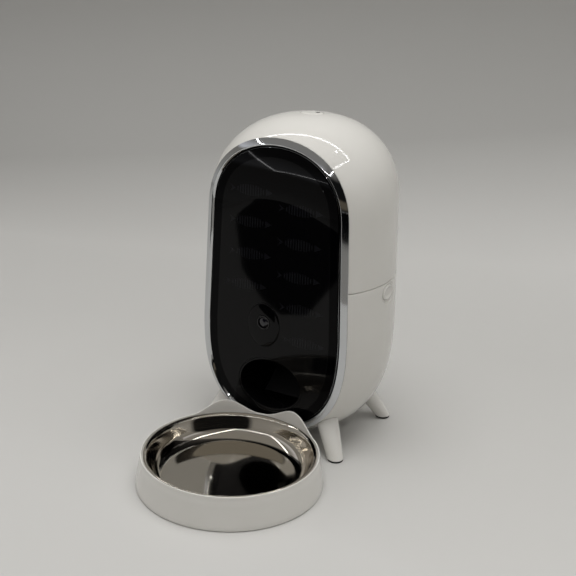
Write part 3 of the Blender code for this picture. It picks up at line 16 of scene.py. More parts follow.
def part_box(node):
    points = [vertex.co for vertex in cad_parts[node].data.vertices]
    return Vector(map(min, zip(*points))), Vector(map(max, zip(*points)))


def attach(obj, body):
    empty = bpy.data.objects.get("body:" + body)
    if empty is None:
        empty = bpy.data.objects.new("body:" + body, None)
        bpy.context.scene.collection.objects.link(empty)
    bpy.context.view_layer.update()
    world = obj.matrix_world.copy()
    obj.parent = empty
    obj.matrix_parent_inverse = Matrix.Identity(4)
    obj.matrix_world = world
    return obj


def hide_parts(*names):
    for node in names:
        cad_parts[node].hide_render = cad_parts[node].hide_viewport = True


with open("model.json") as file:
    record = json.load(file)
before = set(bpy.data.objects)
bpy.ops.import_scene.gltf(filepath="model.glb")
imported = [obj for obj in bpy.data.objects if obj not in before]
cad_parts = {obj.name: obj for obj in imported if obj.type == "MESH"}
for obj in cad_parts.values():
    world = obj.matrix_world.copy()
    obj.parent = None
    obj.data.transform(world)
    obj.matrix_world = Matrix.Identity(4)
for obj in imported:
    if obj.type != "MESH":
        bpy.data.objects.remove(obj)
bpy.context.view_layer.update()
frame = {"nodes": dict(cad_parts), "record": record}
print("nodes loaded:", len(frame["nodes"]))

# %% [markdown]
# ## Sizes
# The body is two round ends joined by a straight band, squared up a little as moulded plastic is. Its axis
# stands behind the frame's origin, because the tray counts in the outline. The four foot pads stand evenly about
# that axis, so their boxes give its place. The other sizes are those that the real object would be drawn with.

# %% Driving sizes


def box_place(name):
    """The middle of a node's box, laid on the table."""
    low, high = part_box(name)
    return (low[0] + high[0]) / 2, (low[1] + high[1]) / 2, 0


def box_depths(name):
    """The front and the back of a node's box, measured from the body's axis."""
    return [corner[1] - AXIS_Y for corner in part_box(name)]


AXIS_Y = (box_place("foot_pad_front_right")[1] + box_place("foot_pad_rear_right")[1]) / 2
AXIS_SHIFT = (0, AXIS_Y, 0)
WAIST_RADIUS = 0.0936
WAIST_Z = 0.1202
BELLY_DEPTH = 0.1131
BELLY_POWER = 2.71
DOME_RADIUS = 0.0900
DOME_Z = 0.2333
DOME_HEIGHT = 0.0843
DOME_POWER = 2.25
DOME_LEAN = 0.0065
DEPTH_RATIO = 1.046
UNDERSIDE_Z = 0.0150
SEAM_Z = 0.1687
SEAM_GAP = 0.0005
WALL = 0.0024
FIT = 0.0003
ROUND = 0.0006
OVERRUN = 0.0060
MERGE = 0.000002
FACE_Y = -0.0540
WINDOW_FRONT_Y, WINDOW_BACK_Y = box_depths("window_panel")
print("body axis at y =", round(AXIS_Y, 4), "window front at", round(WINDOW_FRONT_Y, 4))

# %% [markdown]
# ## The photograph's view
# The photograph looks down at the feeder from its front right, with a long lens and the camera turned a little
# about its own line of sight. A camera is easiest to place by three angles: heading, pitch and roll.
# The three directions they give are the columns of its matrix.

# %% Scene camera
CAMERA_PLACE = Vector((0.4383, -0.8412, 0.4807))
CAMERA_SWING = math.radians(0.789)
CAMERA_PITCH = math.radians(19.545)
CAMERA_ROLL = math.radians(1.956)
FOCAL_PIXELS = 1015.29
FRAME_PIXELS = 576
SENSOR_WIDTH = 36

heading = math.atan2(-CAMERA_PLACE.y, -CAMERA_PLACE.x) + CAMERA_SWING
ahead = Vector((
    math.cos(heading) * math.cos(CAMERA_PITCH),
    math.sin(heading) * math.cos(CAMERA_PITCH),
    -math.sin(CAMERA_PITCH),
))
level_right = ahead.cross(Vector((0, 0, 1))).normalized()
level_up = level_right.cross(ahead)
right = level_right * math.cos(CAMERA_ROLL) + level_up * math.sin(CAMERA_ROLL)
up = level_up * math.cos(CAMERA_ROLL) - level_right * math.sin(CAMERA_ROLL)

camera_data = bpy.data.cameras.new("photo_camera")
camera_data.sensor_width = SENSOR_WIDTH
camera_data.lens = SENSOR_WIDTH * FOCAL_PIXELS / FRAME_PIXELS
camera = bpy.data.objects.new("photo_camera", camera_data)
bpy.context.collection.objects.link(camera)
turn = Matrix((right, up, -ahead)).transposed().to_4x4()
camera.matrix_world = Matrix.Translation(CAMERA_PLACE + Vector(AXIS_SHIFT)) @ turn
bpy.context.scene.camera = camera
print("lens", round(camera_data.lens, 1), "mm, heading", round(math.degrees(heading), 1))

# %% [markdown]
# ## Colour and nodes
# Colours are written as the hex values that a picture shows, and a shader wants light values, so one function
# turns one into the other. Two more fill a node's sockets and add a node. Every finish below is built with them.

# %% Colour and node helpers


def linear(code):
    """An sRGB hex colour as the linear values that a shader takes."""
    channels = [int(code[index:index + 2], 16) / 255 for index in (1, 3, 5)]
    return [c / 12.92 if c <= 0.04045 else ((c + 0.055) / 1.055) ** 2.4 for c in channels] + [1]


def feed(node, **sockets):
    """Fill sockets, by name or by number as in _3, with a value or with a link to another node's output."""
    for name, value in sockets.items():
        socket = node.inputs[int(name[1:])] if name[0] == "_" else node.inputs[name.replace("_", " ")]
        if isinstance(value, bpy.types.NodeSocket):
            node.id_data.links.new(value, socket)
        else:
            socket.default_value = value


def add(tree, kind, settings=None, **sockets):
    """Add a node with its settings and its sockets filled."""
    node = tree.nodes.new(kind)
    for name, value in (settings or {}).items():
        setattr(node, name, value)
    feed(node, **sockets)
    return node


print("a mid grey passes on", round(linear("#808080")[0], 3), "of the light")

# %% [markdown]
# ## How a finish is built
# No real surface is even: its colour, its gloss and its height wander a little, each at a scale of its own. So one
# recipe feeds all three from soft noise. A grain is the noise's spot size in metres and its detail. What is the
# same all over a surface is set on the shader itself.

# %% Finish recipe
HANDLING = 0.045, 2.0
SMEAR = 0.025, 2.0


def new_finish(name):
    """An empty material: itself, its node tree and its shader."""
    finish = bpy.data.materials.new(name)
    finish.use_nodes = True
    return finish, finish.node_tree, finish.node_tree.nodes["Principled BSDF"]


def raise_surface(tree, height, depth):
    """Let a pattern of 0 to 1 raise the surface by up to depth metres."""
    relief = add(tree, "ShaderNodeBump", Height=height, Distance=depth, Strength=1.0)
    feed(tree.nodes["Principled BSDF"], Normal=relief.outputs["Normal"])


def make_finish(name, tones, gloss, relief=None, **values):
    """A material: tones is a hex or (grain, hex, hex), gloss (grain, low, high), relief (grain, metres)."""
    finish, tree, shader = new_finish(name)
    place = add(tree, "ShaderNodeTexCoord").outputs["Object"]
    noise = {}
    for rule in (tones, gloss, relief):
        if isinstance(rule, tuple) and rule[0] not in noise:
            size, detail = rule[0]
            spots = add(tree, "ShaderNodeTexNoise", Vector=place, Scale=1 / size, Detail=detail)
            noise[rule[0]] = spots.outputs["Fac"]
    if isinstance(tones, tuple):
        ends = {"_6": linear(tones[1]), "_7": linear(tones[2])}
        tint = add(tree, "ShaderNodeMix", {"data_type": "RGBA"}, _0=noise[tones[0]], **ends)
        feed(shader, Base_Color=tint.outputs[2])
    else:
        feed(shader, Base_Color=linear(tones))
    rough = add(tree, "ShaderNodeMapRange", _0=noise[gloss[0]], _3=gloss[1], _4=gloss[2])
    feed(shader, Roughness=rough.outputs[0], **values)
    if relief:
        raise_surface(tree, noise[relief[0]], relief[1])
    print("finish:", name)
    return finish


print("handling marks are", 1000 * HANDLING[0], "mm across, smears", 1000 * SMEAR[0], "mm")

# %% [markdown]
# ## Gloss white ABS
# The shells, legs, buttons and tray are injection-moulded ABS from a polished mould. It is a slightly warm white
# with a clear, wet-looking gloss. Up close the surface has a faint waviness, as the skin sinks a little over the
# ribs behind it, and handling leaves soft patches where the gloss is a touch duller.

# %% Gloss white ABS
ABS_WHITE = "#DEDCD7"
ABS_SHADE = "#DAD8D2"
ABS_GLOSS = 0.045, 0.085
ABS_IOR = 1.53
SINK = 0.030, 2.0
SINK_DEPTH = 0.00002

abs_tones = HANDLING, ABS_WHITE, ABS_SHADE
gloss_abs = make_finish(
    "moulded_gloss_abs", abs_tones, (HANDLING, *ABS_GLOSS), (SINK, SINK_DEPTH), IOR=ABS_IOR
)

# %% [markdown]
# ## Tinted acrylic
# The window and the camera's plate are black-backed acrylic, polished like glass, and the food chute is as glossy.
# It shows almost no colour of its own and mirrors the room, so what matters is a low roughness with the faintest
# haze of fingerprints. Its hard coat leaves about a third of what bare acrylic would mirror, and the black border
# less still.

# %% Tinted acrylic
ACRYLIC_BLACK = "#040405"
PANEL_BLACK = "#060607"
BORDER_BLACK = "#020203"
ACRYLIC_GLOSS = 0.03, 0.07
ACRYLIC_IOR = 1.49
HARD_COAT = 0.17
BORDER_COAT = 0.08
FINE_SMEAR = 0.025, 4.0


def make_acrylic(name, colour, coat=HARD_COAT):
    return make_finish(name, colour, (FINE_SMEAR, *ACRYLIC_GLOSS), IOR=ACRYLIC_IOR, Specular_IOR_Level=coat)


acrylic = make_acrylic("black_backed_acrylic", ACRYLIC_BLACK)
border_acrylic = make_acrylic("black_border_acrylic", BORDER_BLACK, BORDER_COAT)
panel_acrylic = make_acrylic("bent_acrylic", PANEL_BLACK)
chute_black = make_acrylic("polished_black_chute", PANEL_BLACK)

# %% [markdown]
# ## Printed ink behind the acrylic
# A pattern on the back of the panel shows through it as a slightly lighter grey under the same gloss. The ink
# lies in a fine dot screen, so its tone is a little uneven.

# %% Printed ink
INK_GREY = "#18181B"
INK_DARK = "#121215"
DOTS = 0.0006, 0.0

ink = make_finish("screen_printed_ink", (DOTS, INK_DARK, INK_GREY), (SMEAR, *ACRYLIC_GLOSS))
feed(ink.node_tree.nodes["Principled BSDF"], IOR=ACRYLIC_IOR, Specular_IOR_Level=HARD_COAT)

# %% [markdown]
# ## The window's bend
# The real sheet is curved back towards its top, so that part mirrors the lamps overhead while the rest mirrors
# the table. The sheet could be bent in the mesh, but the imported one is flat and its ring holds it. A bump that
# follows a parabola tilts the normal as such a curve would, and leaves the mesh alone.

# %% Window bend
BEND_Z = 0.200
BEND_SQUASH = (0.75, 0, 1)
BEND_RADIUS = 0.038
BEND_RATE = 11.2


def bend_back(finish):
    """Tilt the normal up and outwards past BEND_RADIUS from the middle, by BEND_RATE radians a metre."""
    tree = finish.node_tree
    place = tree.nodes["Texture Coordinate"].outputs["Object"]
    flat = add(tree, "ShaderNodeMapping", Vector=place, Location=(0, 0, -BEND_Z), Scale=BEND_SQUASH).outputs[0]
    above = add(tree, "ShaderNodeSeparateXYZ", Vector=flat).outputs["Z"]
    share = add(tree, "ShaderNodeMapRange", _0=above, _1=0.0, _2=BEND_RADIUS).outputs[0]
    drop = add(tree, "ShaderNodeVectorMath", {"operation": "LENGTH"}, _0=flat).outputs["Value"]
    parabola = ("SUBTRACT", BEND_RADIUS), ("MULTIPLY", share), ("MAXIMUM", 0.0), ("POWER", 2.0)
    for operation, other in (*parabola, ("MULTIPLY", -BEND_RATE / 2)):
        drop = add(tree, "ShaderNodeMath", {"operation": operation}, _0=drop, _1=other).outputs[0]
    raise_surface(tree, drop, 1.0)


for bent in (border_acrylic, panel_acrylic, ink):
    bend_back(bent)
    print("bent:", bent.name)

# %% [markdown]
# ## Satin plastics, screws, rubber and board
# Frames, the hopper and the inner boxes are ABS and polypropylene from an etched mould, whose fine texture
# scatters the highlight. Its grain is 0.3 to 0.5 mm across on the real thing, and the same here. Zinc-plated
# screws, near-black moulded rubber and the board's green solder mask differ in colour and gloss alone.

# %% Satin plastics, screws, rubber and board
ETCH = 0.0004, 0.0
ETCH_DEPTH = 0.00001


def make_satin(name, colour, shade, *gloss, **values):
    return make_finish(name, (HANDLING, colour, shade), (ETCH, *gloss), (ETCH, ETCH_DEPTH), **values)


black_satin = make_satin("etched_black_abs", "#131314", "#18181A", 0.30, 0.45)
black_gloss = make_satin("polished_black_abs", "#0A0A0B", "#0E0E0F", 0.08, 0.14)
grey_satin = make_satin("etched_grey_polypropylene", "#BDBEBE", "#B4B6B7", 0.38, 0.52)
zinc_steel = make_satin("zinc_plated_steel", "#A9ABAD", "#9A9DA0", 0.25, 0.40, Metallic=1.0)
pad_rubber = make_satin("moulded_rubber", "#1A1A1A", "#222221", 0.65, 0.85)
solder_mask = make_satin("green_solder_mask", "#14532A", "#0F4522", 0.25, 0.40)

# %% [markdown]
# ## Chrome plating and lens glass
# The ring is plastic with a bright chrome plate. Chrome is a cool grey mirror, and its only texture is the faint
# ripple of the plastic under the plate. The lens is coated glass, which throws back a faint violet.

# %% Chrome plating and lens glass
CHROME_GREY = "#C9CBCD"
CHROME_GLOSS = 0.03, 0.08
RIPPLE = 0.012, 2.0
RIPPLE_DEPTH = 0.000012
COATING_TINT = "#0B0A14"
COATING_WEIGHT = 0.25
LENS_GLOSS = 0.01, 0.03

chrome = make_finish(
    "chrome_plated_abs", CHROME_GREY, (SMEAR, *CHROME_GLOSS), (RIPPLE, RIPPLE_DEPTH), Metallic=1.0
)
lens_glass = make_finish("coated_lens_glass", COATING_TINT, (SMEAR, *LENS_GLOSS), Coat_Weight=COATING_WEIGHT)

# %% [markdown]
# ## Polished stainless steel
# The bowl is deep-drawn from sheet and buffed on a wheel while it turns. The buffing leaves hair lines round its
# axis, too fine to see one by one, which draw every highlight out into an arc. They are drawn here 0.5 mm apart,
# by noise that reads only the distance from the axis and the height.

# %% Polished stainless steel
STEEL_GREY = "#D0CABF"
STEEL_GLOSS = 0.05, 0.10
HAIR_SIZE = 0.0005
HAIR_DEPTH = 0.0000012
BOWL_PLACE = Vector(box_place("steel_bowl"))


def buff_round_axis(finish):
    tree = finish.node_tree
    place = tree.nodes["Texture Coordinate"].outputs["Object"]
    flat = add(tree, "ShaderNodeMapping", Vector=place, Location=-BOWL_PLACE, Scale=(1, 1, 0)).outputs[0]
    radius = add(tree, "ShaderNodeVectorMath", {"operation": "LENGTH"}, _0=flat).outputs["Value"]
    height = add(tree, "ShaderNodeSeparateXYZ", Vector=place).outputs["Z"]
    along = add(tree, "ShaderNodeCombineXYZ", X=radius, Y=height).outputs[0]
    hairs = add(tree, "ShaderNodeTexNoise", Vector=along, Scale=1 / HAIR_SIZE, Detail=2.0).outputs["Fac"]
    raise_surface(tree, hairs, HAIR_DEPTH)


bowl_steel = make_finish("buffed_stainless_steel", STEEL_GREY, (SMEAR, *STEEL_GLOSS), Metallic=1.0)
buff_round_axis(bowl_steel)

# %% [markdown]
# ## Turning and sweeping
# Most pieces are either turned on an axis or swept from one closed outline to the next. Spin does the first. For
# the second, an outline's edges are extruded and the new corners moved to the next station: each corner carries
# its number along, so nothing has to be matched up afterwards.

# %% Turning and sweeping


def point_out(bm):
    """Merge doubles and point every face outwards."""
    bmesh.ops.remove_doubles(bm, verts=bm.verts, dist=MERGE)
    bm.normal_update()
    bmesh.ops.recalc_face_normals(bm, faces=bm.faces)
    if bm.calc_volume(signed=True) < 0:
        bmesh.ops.reverse_faces(bm, faces=bm.faces)


def point_up(bm):
    """Turn an open sheet's faces so that most of them look up."""
    bm.normal_update()
    if sum(face.normal.z for face in bm.faces) < 0:
        bmesh.ops.reverse_faces(bm, faces=bm.faces)


def sweep(stations, closed=False):
    """Skin a row of outlines with the same number of points, ends filled unless the row closes on itself."""
    bm = bmesh.new()
    order = bm.verts.layers.int.new("order")
    verts = [bm.verts.new(point) for point in stations[0]]
    for index, vert in enumerate(verts):
        vert[order] = index
    first = [bm.edges.new(pair) for pair in zip(verts, verts[1:] + verts[:1])]
    edges = first
    for station in stations[1:] + (stations[:1] if closed else []):
        grown = bmesh.ops.extrude_edge_only(bm, edges=edges)["geom"]
        fresh = {part for part in grown if isinstance(part, bmesh.types.BMVert)}
        for vert in fresh:
            vert.co = station[vert[order]]
        edges = [part for part in grown if isinstance(part, bmesh.types.BMEdge) and set(part.verts) <= fresh]
    if not closed:
        bmesh.ops.edgeloop_fill(bm, edges=first)
        bmesh.ops.edgeloop_fill(bm, edges=edges)
    point_out(bm)
    return bm


def turned(points, steps, closed=False):
    """Spin an outline of (radius, height) points about the upright axis."""
    bm = bmesh.new()
    verts = [bm.verts.new((radius, 0, z)) for radius, z in points]
    pairs = list(zip(verts, verts[1:])) + ([(verts[-1], verts[0])] if closed else [])
    edges = [bm.edges.new(pair) for pair in pairs if max(vert.co.x for vert in pair) > MERGE]
    bmesh.ops.spin(
        bm, geom=verts + edges, cent=(0, 0, 0), axis=(0, 0, 1), angle=math.tau, steps=steps, use_merge=True
    )
    point_out(bm)
    return bm


print("corners nearer than", 1000 * MERGE, "mm are merged")

# %% [markdown]
# ## Outlines
# A section is a row of (u, v) points, laid in a plane across the x, y or z axis. Nearly every opening and small
# part of this object is an oval, so one function sweeps an oval through stages that grow or shrink it.

# %% Outlines


def oval(half_u, half_v, u, v, count):
    """Points round an oval."""
    angles = [math.tau * step / count for step in range(count)]
    return [(u + half_u * math.cos(angle), v + half_v * math.sin(angle)) for angle in angles]


def arc(centre_u, centre_v, radius, start, end, steps):
    """Points on an arc, angles in degrees."""
    angles = [math.radians(start + (end - start) * step / steps) for step in range(steps + 1)]
    return [(centre_u + radius * math.cos(angle), centre_v + radius * math.sin(angle)) for angle in angles]


def along_x(points, x):
    return [Vector((x, u, v)) for u, v in points]


def along_y(points, y):
    return [Vector((u, y, v)) for u, v in points]


def along_z(points, z):
    return [Vector((u, v, z)) for u, v in points]


def oval_stack(along, shape, stages, closed=False):
    """Sweep the oval (half_u, half_v, u, v, count) through stages of (growth, place on the axis)."""
    half_u, half_v, *rest = shape
    return sweep([along(oval(half_u + grow, half_v + grow, *rest), place) for grow, place in stages], closed)


print("corner of a 4-point oval:", [round(value, 3) for value in oval(0.1, 0.2, 0, 0, 4)[1]])

# %% [markdown]
# ## From a shape to a piece
# A shape becomes a piece when it has its finish, the body that it rides on and the nodes that it stands for.
# Openings are carved with a Boolean between two throwaway objects, because no bmesh operator takes one closed
# shape out of another.

# %% From a shape to a piece
SHARP_ANGLE = math.radians(32)


def mesh_object(name, bm):
    """Turn a bmesh into a linked object."""
    mesh = bpy.data.meshes.new(name)
    bm.to_mesh(mesh)
    bm.free()
    made = bpy.data.objects.new(name, mesh)
    bpy.context.collection.objects.link(made)
    return made


def piece(name, bm, finish, body, slot, *nodes, shift=AXIS_SHIFT):
    """Make a finished piece: its mesh in place, its finish, the body it rides on and the nodes it stands for."""
    bmesh.ops.translate(bm, verts=bm.verts, vec=shift)
    made = mesh_object(name, bm)
    made.data.shade_smooth()
    made.data.set_sharp_from_angle(angle=SHARP_ANGLE)
    made.data.materials.append(finish)
    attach(made, body)
    if nodes:
        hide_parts(*nodes)
    print(name, len(made.data.polygons), "faces")


def carve(bm, cutter):
    """Take one closed shape out of another, and give back the shape that is left."""
    blank, tool = mesh_object("blank", bm), mesh_object("cutter", cutter)
    modifier = blank.modifiers.new("carve", "BOOLEAN")
    modifier.operation = "DIFFERENCE"
    modifier.object = tool
    bpy.context.view_layer.update()
    left = bmesh.new()
    left.from_object(blank, bpy.context.evaluated_depsgraph_get())
    for used in (blank, tool):
        bpy.data.objects.remove(used)
    return left


def drill(bm, along, shape, start, end):
    """Carve a straight oval hole between two places on an axis."""
    return carve(bm, oval_stack(along, shape, [(0, start), (0, end)]))


def disc(radius, u, v, count):
    """The shape of a round hole."""
    return radius, radius, u, v, count


print("edges sharper than", round(math.degrees(SHARP_ANGLE)), "degrees stay sharp")

# %% [markdown]
# ## The body's shape
# One formula gives the body's half-width at any height. A superellipse is a circle's formula with another power:
# over 2 it squares the curve up, which is how the moulded shape stays full and then turns in quickly. The section
# is a little deeper than wide, and the top leans back.

# %% Body shape


def body_radius(z, inset=0):
    if z > DOME_Z:
        share = min(1, (z - DOME_Z) / (DOME_HEIGHT - inset))
        return (DOME_RADIUS - inset) * (1 - share ** DOME_POWER) ** (1 / DOME_POWER)
    if z > WAIST_Z:
        share = (DOME_Z - z) / (DOME_Z - WAIST_Z)
        return DOME_RADIUS + (WAIST_RADIUS - DOME_RADIUS) * share - inset
    share = min(1, (WAIST_Z - z) / (BELLY_DEPTH - inset))
    return (WAIST_RADIUS - inset) * (1 - share ** BELLY_POWER) ** (1 / BELLY_POWER)


def body_lean(z):
    return DOME_LEAN * max(0, z - DOME_Z) / DOME_HEIGHT


def half_width(z, y, inset=0):
    depth = (y - body_lean(z)) / DEPTH_RATIO
    return math.sqrt(max(0, body_radius(z, inset) ** 2 - depth ** 2))


def half_depth(z, x):
    return body_lean(z) + DEPTH_RATIO * math.sqrt(max(0, body_radius(z) ** 2 - x ** 2))


print("half-width at the seam:", round(body_radius(SEAM_Z), 4))

# %% [markdown]
# ## The body's profile and its flat face
# A shell is turned from a profile whose heights crowd where the curve is tight, and is then given the body's own
# section and lean. Its front is sliced off in one upright plane. The outline of that slice carries the ring and
# the window, so it is found once, from the same formula, and drawn in along its own normals.

# %% Body profile and face
BODY_STEPS = 192
FACE_COUNT = 256
OUTLINE_HALVINGS = 40
SHELL_TOP = SEAM_Z - SEAM_GAP / 2
HOOD_BOTTOM = SEAM_Z + SEAM_GAP / 2


def curved_heights(centre, reach, power, end_share, steps):
    last = math.asin(min(1, end_share) ** (power / 2))
    return [centre + reach * math.sin(last * step / steps) ** (2 / power) for step in range(steps + 1)]


def belly_heights(low_z, inset, steps):
    depth = BELLY_DEPTH - inset
    return curved_heights(WAIST_Z, -depth, BELLY_POWER, (WAIST_Z - low_z) / depth, steps)


def band_heights(low_z, high_z, steps):
    return [low_z + (high_z - low_z) * step / steps for step in range(steps + 1)]


def body_points(heights, inset=0):
    return [(body_radius(z, inset), z) for z in heights]


def body_turned(points):
    """Turn a closed outline, give it the body's section and lean, and slice off its front."""
    bm = turned(points, BODY_STEPS, closed=True)
    for vert in bm.verts:
        vert.co.y = vert.co.y * DEPTH_RATIO + body_lean(vert.co.z)
    plane = {"plane_co": (0, FACE_Y + FIT, 0), "plane_no": (0, -1, 0)}
    whole = bm.verts[:] + bm.edges[:] + bm.faces[:]
    bmesh.ops.bisect_plane(bm, geom=whole, dist=MERGE, clear_outer=True, **plane)
    bmesh.ops.triangle_fill(bm, edges=[edge for edge in bm.edges if edge.is_boundary], use_beauty=True)
    point_out(bm)
    return bm


def face_outline(inset):
    """The body's outline in the face's plane, drawn in along its own normals."""
    low_z, high_z = UNDERSIDE_Z, DOME_Z + DOME_HEIGHT
    middle = (low_z + high_z) / 2
    points = []
    for step in range(FACE_COUNT):
        angle = math.tau * step / FACE_COUNT
        near, far = 0, high_z - low_z
        for _ in range(OUTLINE_HALVINGS):
            reach = (near + far) / 2
            z = middle + reach * math.sin(angle)
            inside = low_z < z < high_z and abs(reach * math.cos(angle)) < half_width(z, FACE_Y)
            near, far = (reach, far) if inside else (near, reach)
        points.append(Vector((near * math.cos(angle), middle + near * math.sin(angle))))
    outline = []
    for index, point in enumerate(points):
        tangent = points[(index + 1) % FACE_COUNT] - points[index - 1]
        outline.append(tuple(point + Vector((-tangent.y, tangent.x)).normalized() * inset))
    return outline


print("face is", round(2000 * max(x for x, z in face_outline(0)), 1), "mm wide")

# %% [markdown]
# ## Lower shell
# A cup with a flat foot, a tongue inside its upper edge that centres the hood, and an oval dish on each side for
# a latch button. It could be sculpted, but a turned profile keeps every highlight clean, and the dishes are then
# carved out of it.

# %% Lower shell
BASE_RIM = 0.0015
BASE_LIP = 0.0060
TONGUE_HEIGHT = 0.0030
TONGUE_ROOT = 0.0015
LATCH_Y = 0.0020
LATCH_Z = 0.1580
LATCH_HALF_WIDTH = 0.0115
LATCH_HALF_HEIGHT = 0.00725
RECESS_MARGIN = 0.0025
RECESS_DEPTH = 0.0012
SOCKET_Z = 0.0450
SOCKET_RADIUS = 0.0060
SOCKET_START_Y = 0.0510


def latch_cut(side):
    """A stepped oval through the wall: the button's hole, and a dish round it with a soft edge."""
    outer = body_radius(LATCH_Z)
    dish = outer - RECESS_DEPTH
    stages = [(0, outer - WALL - OVERRUN), (0, dish), (RECESS_MARGIN - ROUND, dish)]
    stages += [(RECESS_MARGIN, dish + ROUND), (RECESS_MARGIN, outer + OVERRUN)]
    shape = LATCH_HALF_WIDTH + FIT, LATCH_HALF_HEIGHT + FIT, LATCH_Y, LATCH_Z, 96
    return oval_stack(along_x, shape, [(grow, side * x) for grow, x in stages])


foot = body_radius(UNDERSIDE_Z)
floor_z = UNDERSIDE_Z + 2 * WALL
top, low = SEAM_Z + TONGUE_HEIGHT, SEAM_Z - TONGUE_ROOT
tongue = body_radius(top, WALL + FIT)
outside = body_points(belly_heights(UNDERSIDE_Z, 0, steps=44))[::-1]
outside += body_points(band_heights(WAIST_Z, SHELL_TOP - ROUND, steps=10))[1:]
outside += arc(body_radius(SHELL_TOP) - ROUND, SHELL_TOP - ROUND, ROUND, 25, 90, steps=3)
inside = [(tongue, SHELL_TOP), (tongue, top), (tongue - TONGUE_ROOT, top), (tongue - TONGUE_ROOT, low)]
inside += [(body_radius(low, WALL), low)] + body_points(belly_heights(floor_z, WALL, steps=20), WALL)
rim = foot - BASE_RIM
inside += [(rim - BASE_LIP, floor_z), (rim - BASE_LIP, UNDERSIDE_Z + WALL), (rim, UNDERSIDE_Z + WALL)]
inside.append((rim, UNDERSIDE_Z))
bm = body_turned(outside + inside)
for side in (-1, 1):
    bm = carve(bm, latch_cut(side))
socket = disc(SOCKET_RADIUS + FIT, 0, SOCKET_Z, 48)
bm = drill(bm, along_y, socket, SOCKET_START_Y, half_depth(WAIST_Z, 0) + OVERRUN)
piece("lower_shell_skin", bm, gloss_abs, "body", "gloss_white", "lower_shell")

# %% [markdown]
# ## Hood
# The upper half is one dome with a flat front, hinged at the back, with a round hole at its crown for the push
# button. The rings of its profile crowd towards the crown, where the curve is tightest.

# %% Hood
TOP_BUTTON_Y = box_place("top_button")[1] - AXIS_Y
TOP_BUTTON_RADIUS = 0.0110

crown = curved_heights(DOME_Z, DOME_HEIGHT, DOME_POWER, end_share=1, steps=56)
inner_crown = curved_heights(DOME_Z, DOME_HEIGHT - WALL, DOME_POWER, end_share=1, steps=28)
outside = arc(body_radius(HOOD_BOTTOM) - ROUND, HOOD_BOTTOM + ROUND, ROUND, -90, -20, steps=3)
outside += body_points(band_heights(HOOD_BOTTOM + ROUND, DOME_Z, steps=10))[:-1] + body_points(crown)
inside = body_points(inner_crown, WALL)[::-1] + [(body_radius(HOOD_BOTTOM, WALL), HOOD_BOTTOM)]
top = DOME_Z + DOME_HEIGHT
hole = disc(TOP_BUTTON_RADIUS + FIT, 0, TOP_BUTTON_Y, 96)
bm = drill(body_turned(outside + inside), along_z, hole, top - WALL - 2 * OVERRUN, top + OVERRUN)
piece("hood_skin", bm, gloss_abs, "hood", "gloss_white", "upper_hood")

# %% [markdown]
# ## Bright ring
# The ring frames the window: a chamfer rises from the shells to a narrow crest, and an inner band falls from
# there to the window. The two slopes mirror different parts of the room, which is what makes the ring read as two
# lines. It is swept round the body's own outline in the face's plane, so it follows the shells exactly. The
# chamfer is crowned by a tenth of a millimetre, as plated plastic is, which keeps its reflections moving.

# %% Bright ring
RING_WIDTH = 0.0084
RING_PROUD = 0.0042
RING_EDGE = 0.0008
CREST_ROUND = 0.0003
CHAMFER_WIDTH = 0.0050
CHAMFER_CROWN = 0.00012
BAND_DROP = 0.0025
BEAD = 0.0002
SLOPE_STEPS = 6

crest = FACE_Y - RING_PROUD
stations = [(ROUND / 2, FACE_Y), (0, FACE_Y - ROUND / 2), (0, FACE_Y - RING_EDGE)]
rise = RING_PROUD - RING_EDGE - CREST_ROUND / 2
shares = [step / SLOPE_STEPS for step in range(1, SLOPE_STEPS + 1)]
for share in shares:
    swell = CHAMFER_CROWN * math.sin(math.pi * share)
    stations.append((CHAMFER_WIDTH * share, FACE_Y - RING_EDGE - rise * share - swell))
stations.append((CHAMFER_WIDTH + CREST_ROUND, crest))
band = CHAMFER_WIDTH + 2 * CREST_ROUND
stations += [(band + (RING_WIDTH - band) * share, crest + BAND_DROP * share) for share in shares]
low = crest + BAND_DROP
stations += [(RING_WIDTH + BEAD / 2, low - BEAD / 3), (RING_WIDTH + BEAD, low + BEAD / 2)]
stations.append((RING_WIDTH, FACE_Y))
bm = sweep([along_y(face_outline(inset), y) for inset, y in stations], closed=True)
piece("window_ring", bm, chrome, "body", "chrome_trim", "chrome_ring")

# %% [markdown]
# ## Window
# A sheet of black-backed acrylic that drops into the ring, with a polished edge and openings for the camera's
# plate and the food outlet. The edge is swept with a small round, and the openings are carved through. A black
# border runs round it, and inside the border the panel is a shade lighter, with a hairline step where they meet.

# %% Window
OUTLET = 0.0350, 0.0270, 0, 0.0625
CAMERA_PLATE = 0.0170, 0.0220, -0.0085, 0.1226
EDGE_ROUND = 0.0003
BORDER_WIDTH = 0.0085
PANEL_STEP = 0.0001


def window_plate(inset, back, front, edge):
    """A plate of the window's own outline, drawn in by an inset, with a soft front edge and two openings."""
    outline = face_outline(inset)
    stations = [along_y(outline, back), along_y(outline, front + edge), along_y(face_outline(inset + edge), front)]
    bm = sweep(stations)
    for half_u, half_v, u, v in (OUTLET, CAMERA_PLATE):
        shape = half_u + FIT, half_v + FIT, u, v, 128
        bm = drill(bm, along_y, shape, WINDOW_FRONT_Y - OVERRUN, WINDOW_BACK_Y + OVERRUN)
    return bm


sheet = window_plate(RING_WIDTH + FIT, WINDOW_BACK_Y, WINDOW_FRONT_Y, EDGE_ROUND)
piece("window_sheet", sheet, border_acrylic, "body", "window_black", "window_panel")
lighter = RING_WIDTH + BORDER_WIDTH, WINDOW_FRONT_Y + EDGE_ROUND, WINDOW_FRONT_Y - PANEL_STEP, 2 * PANEL_STEP
piece("window_inner_panel", window_plate(*lighter), panel_acrylic, "body", "window_black")

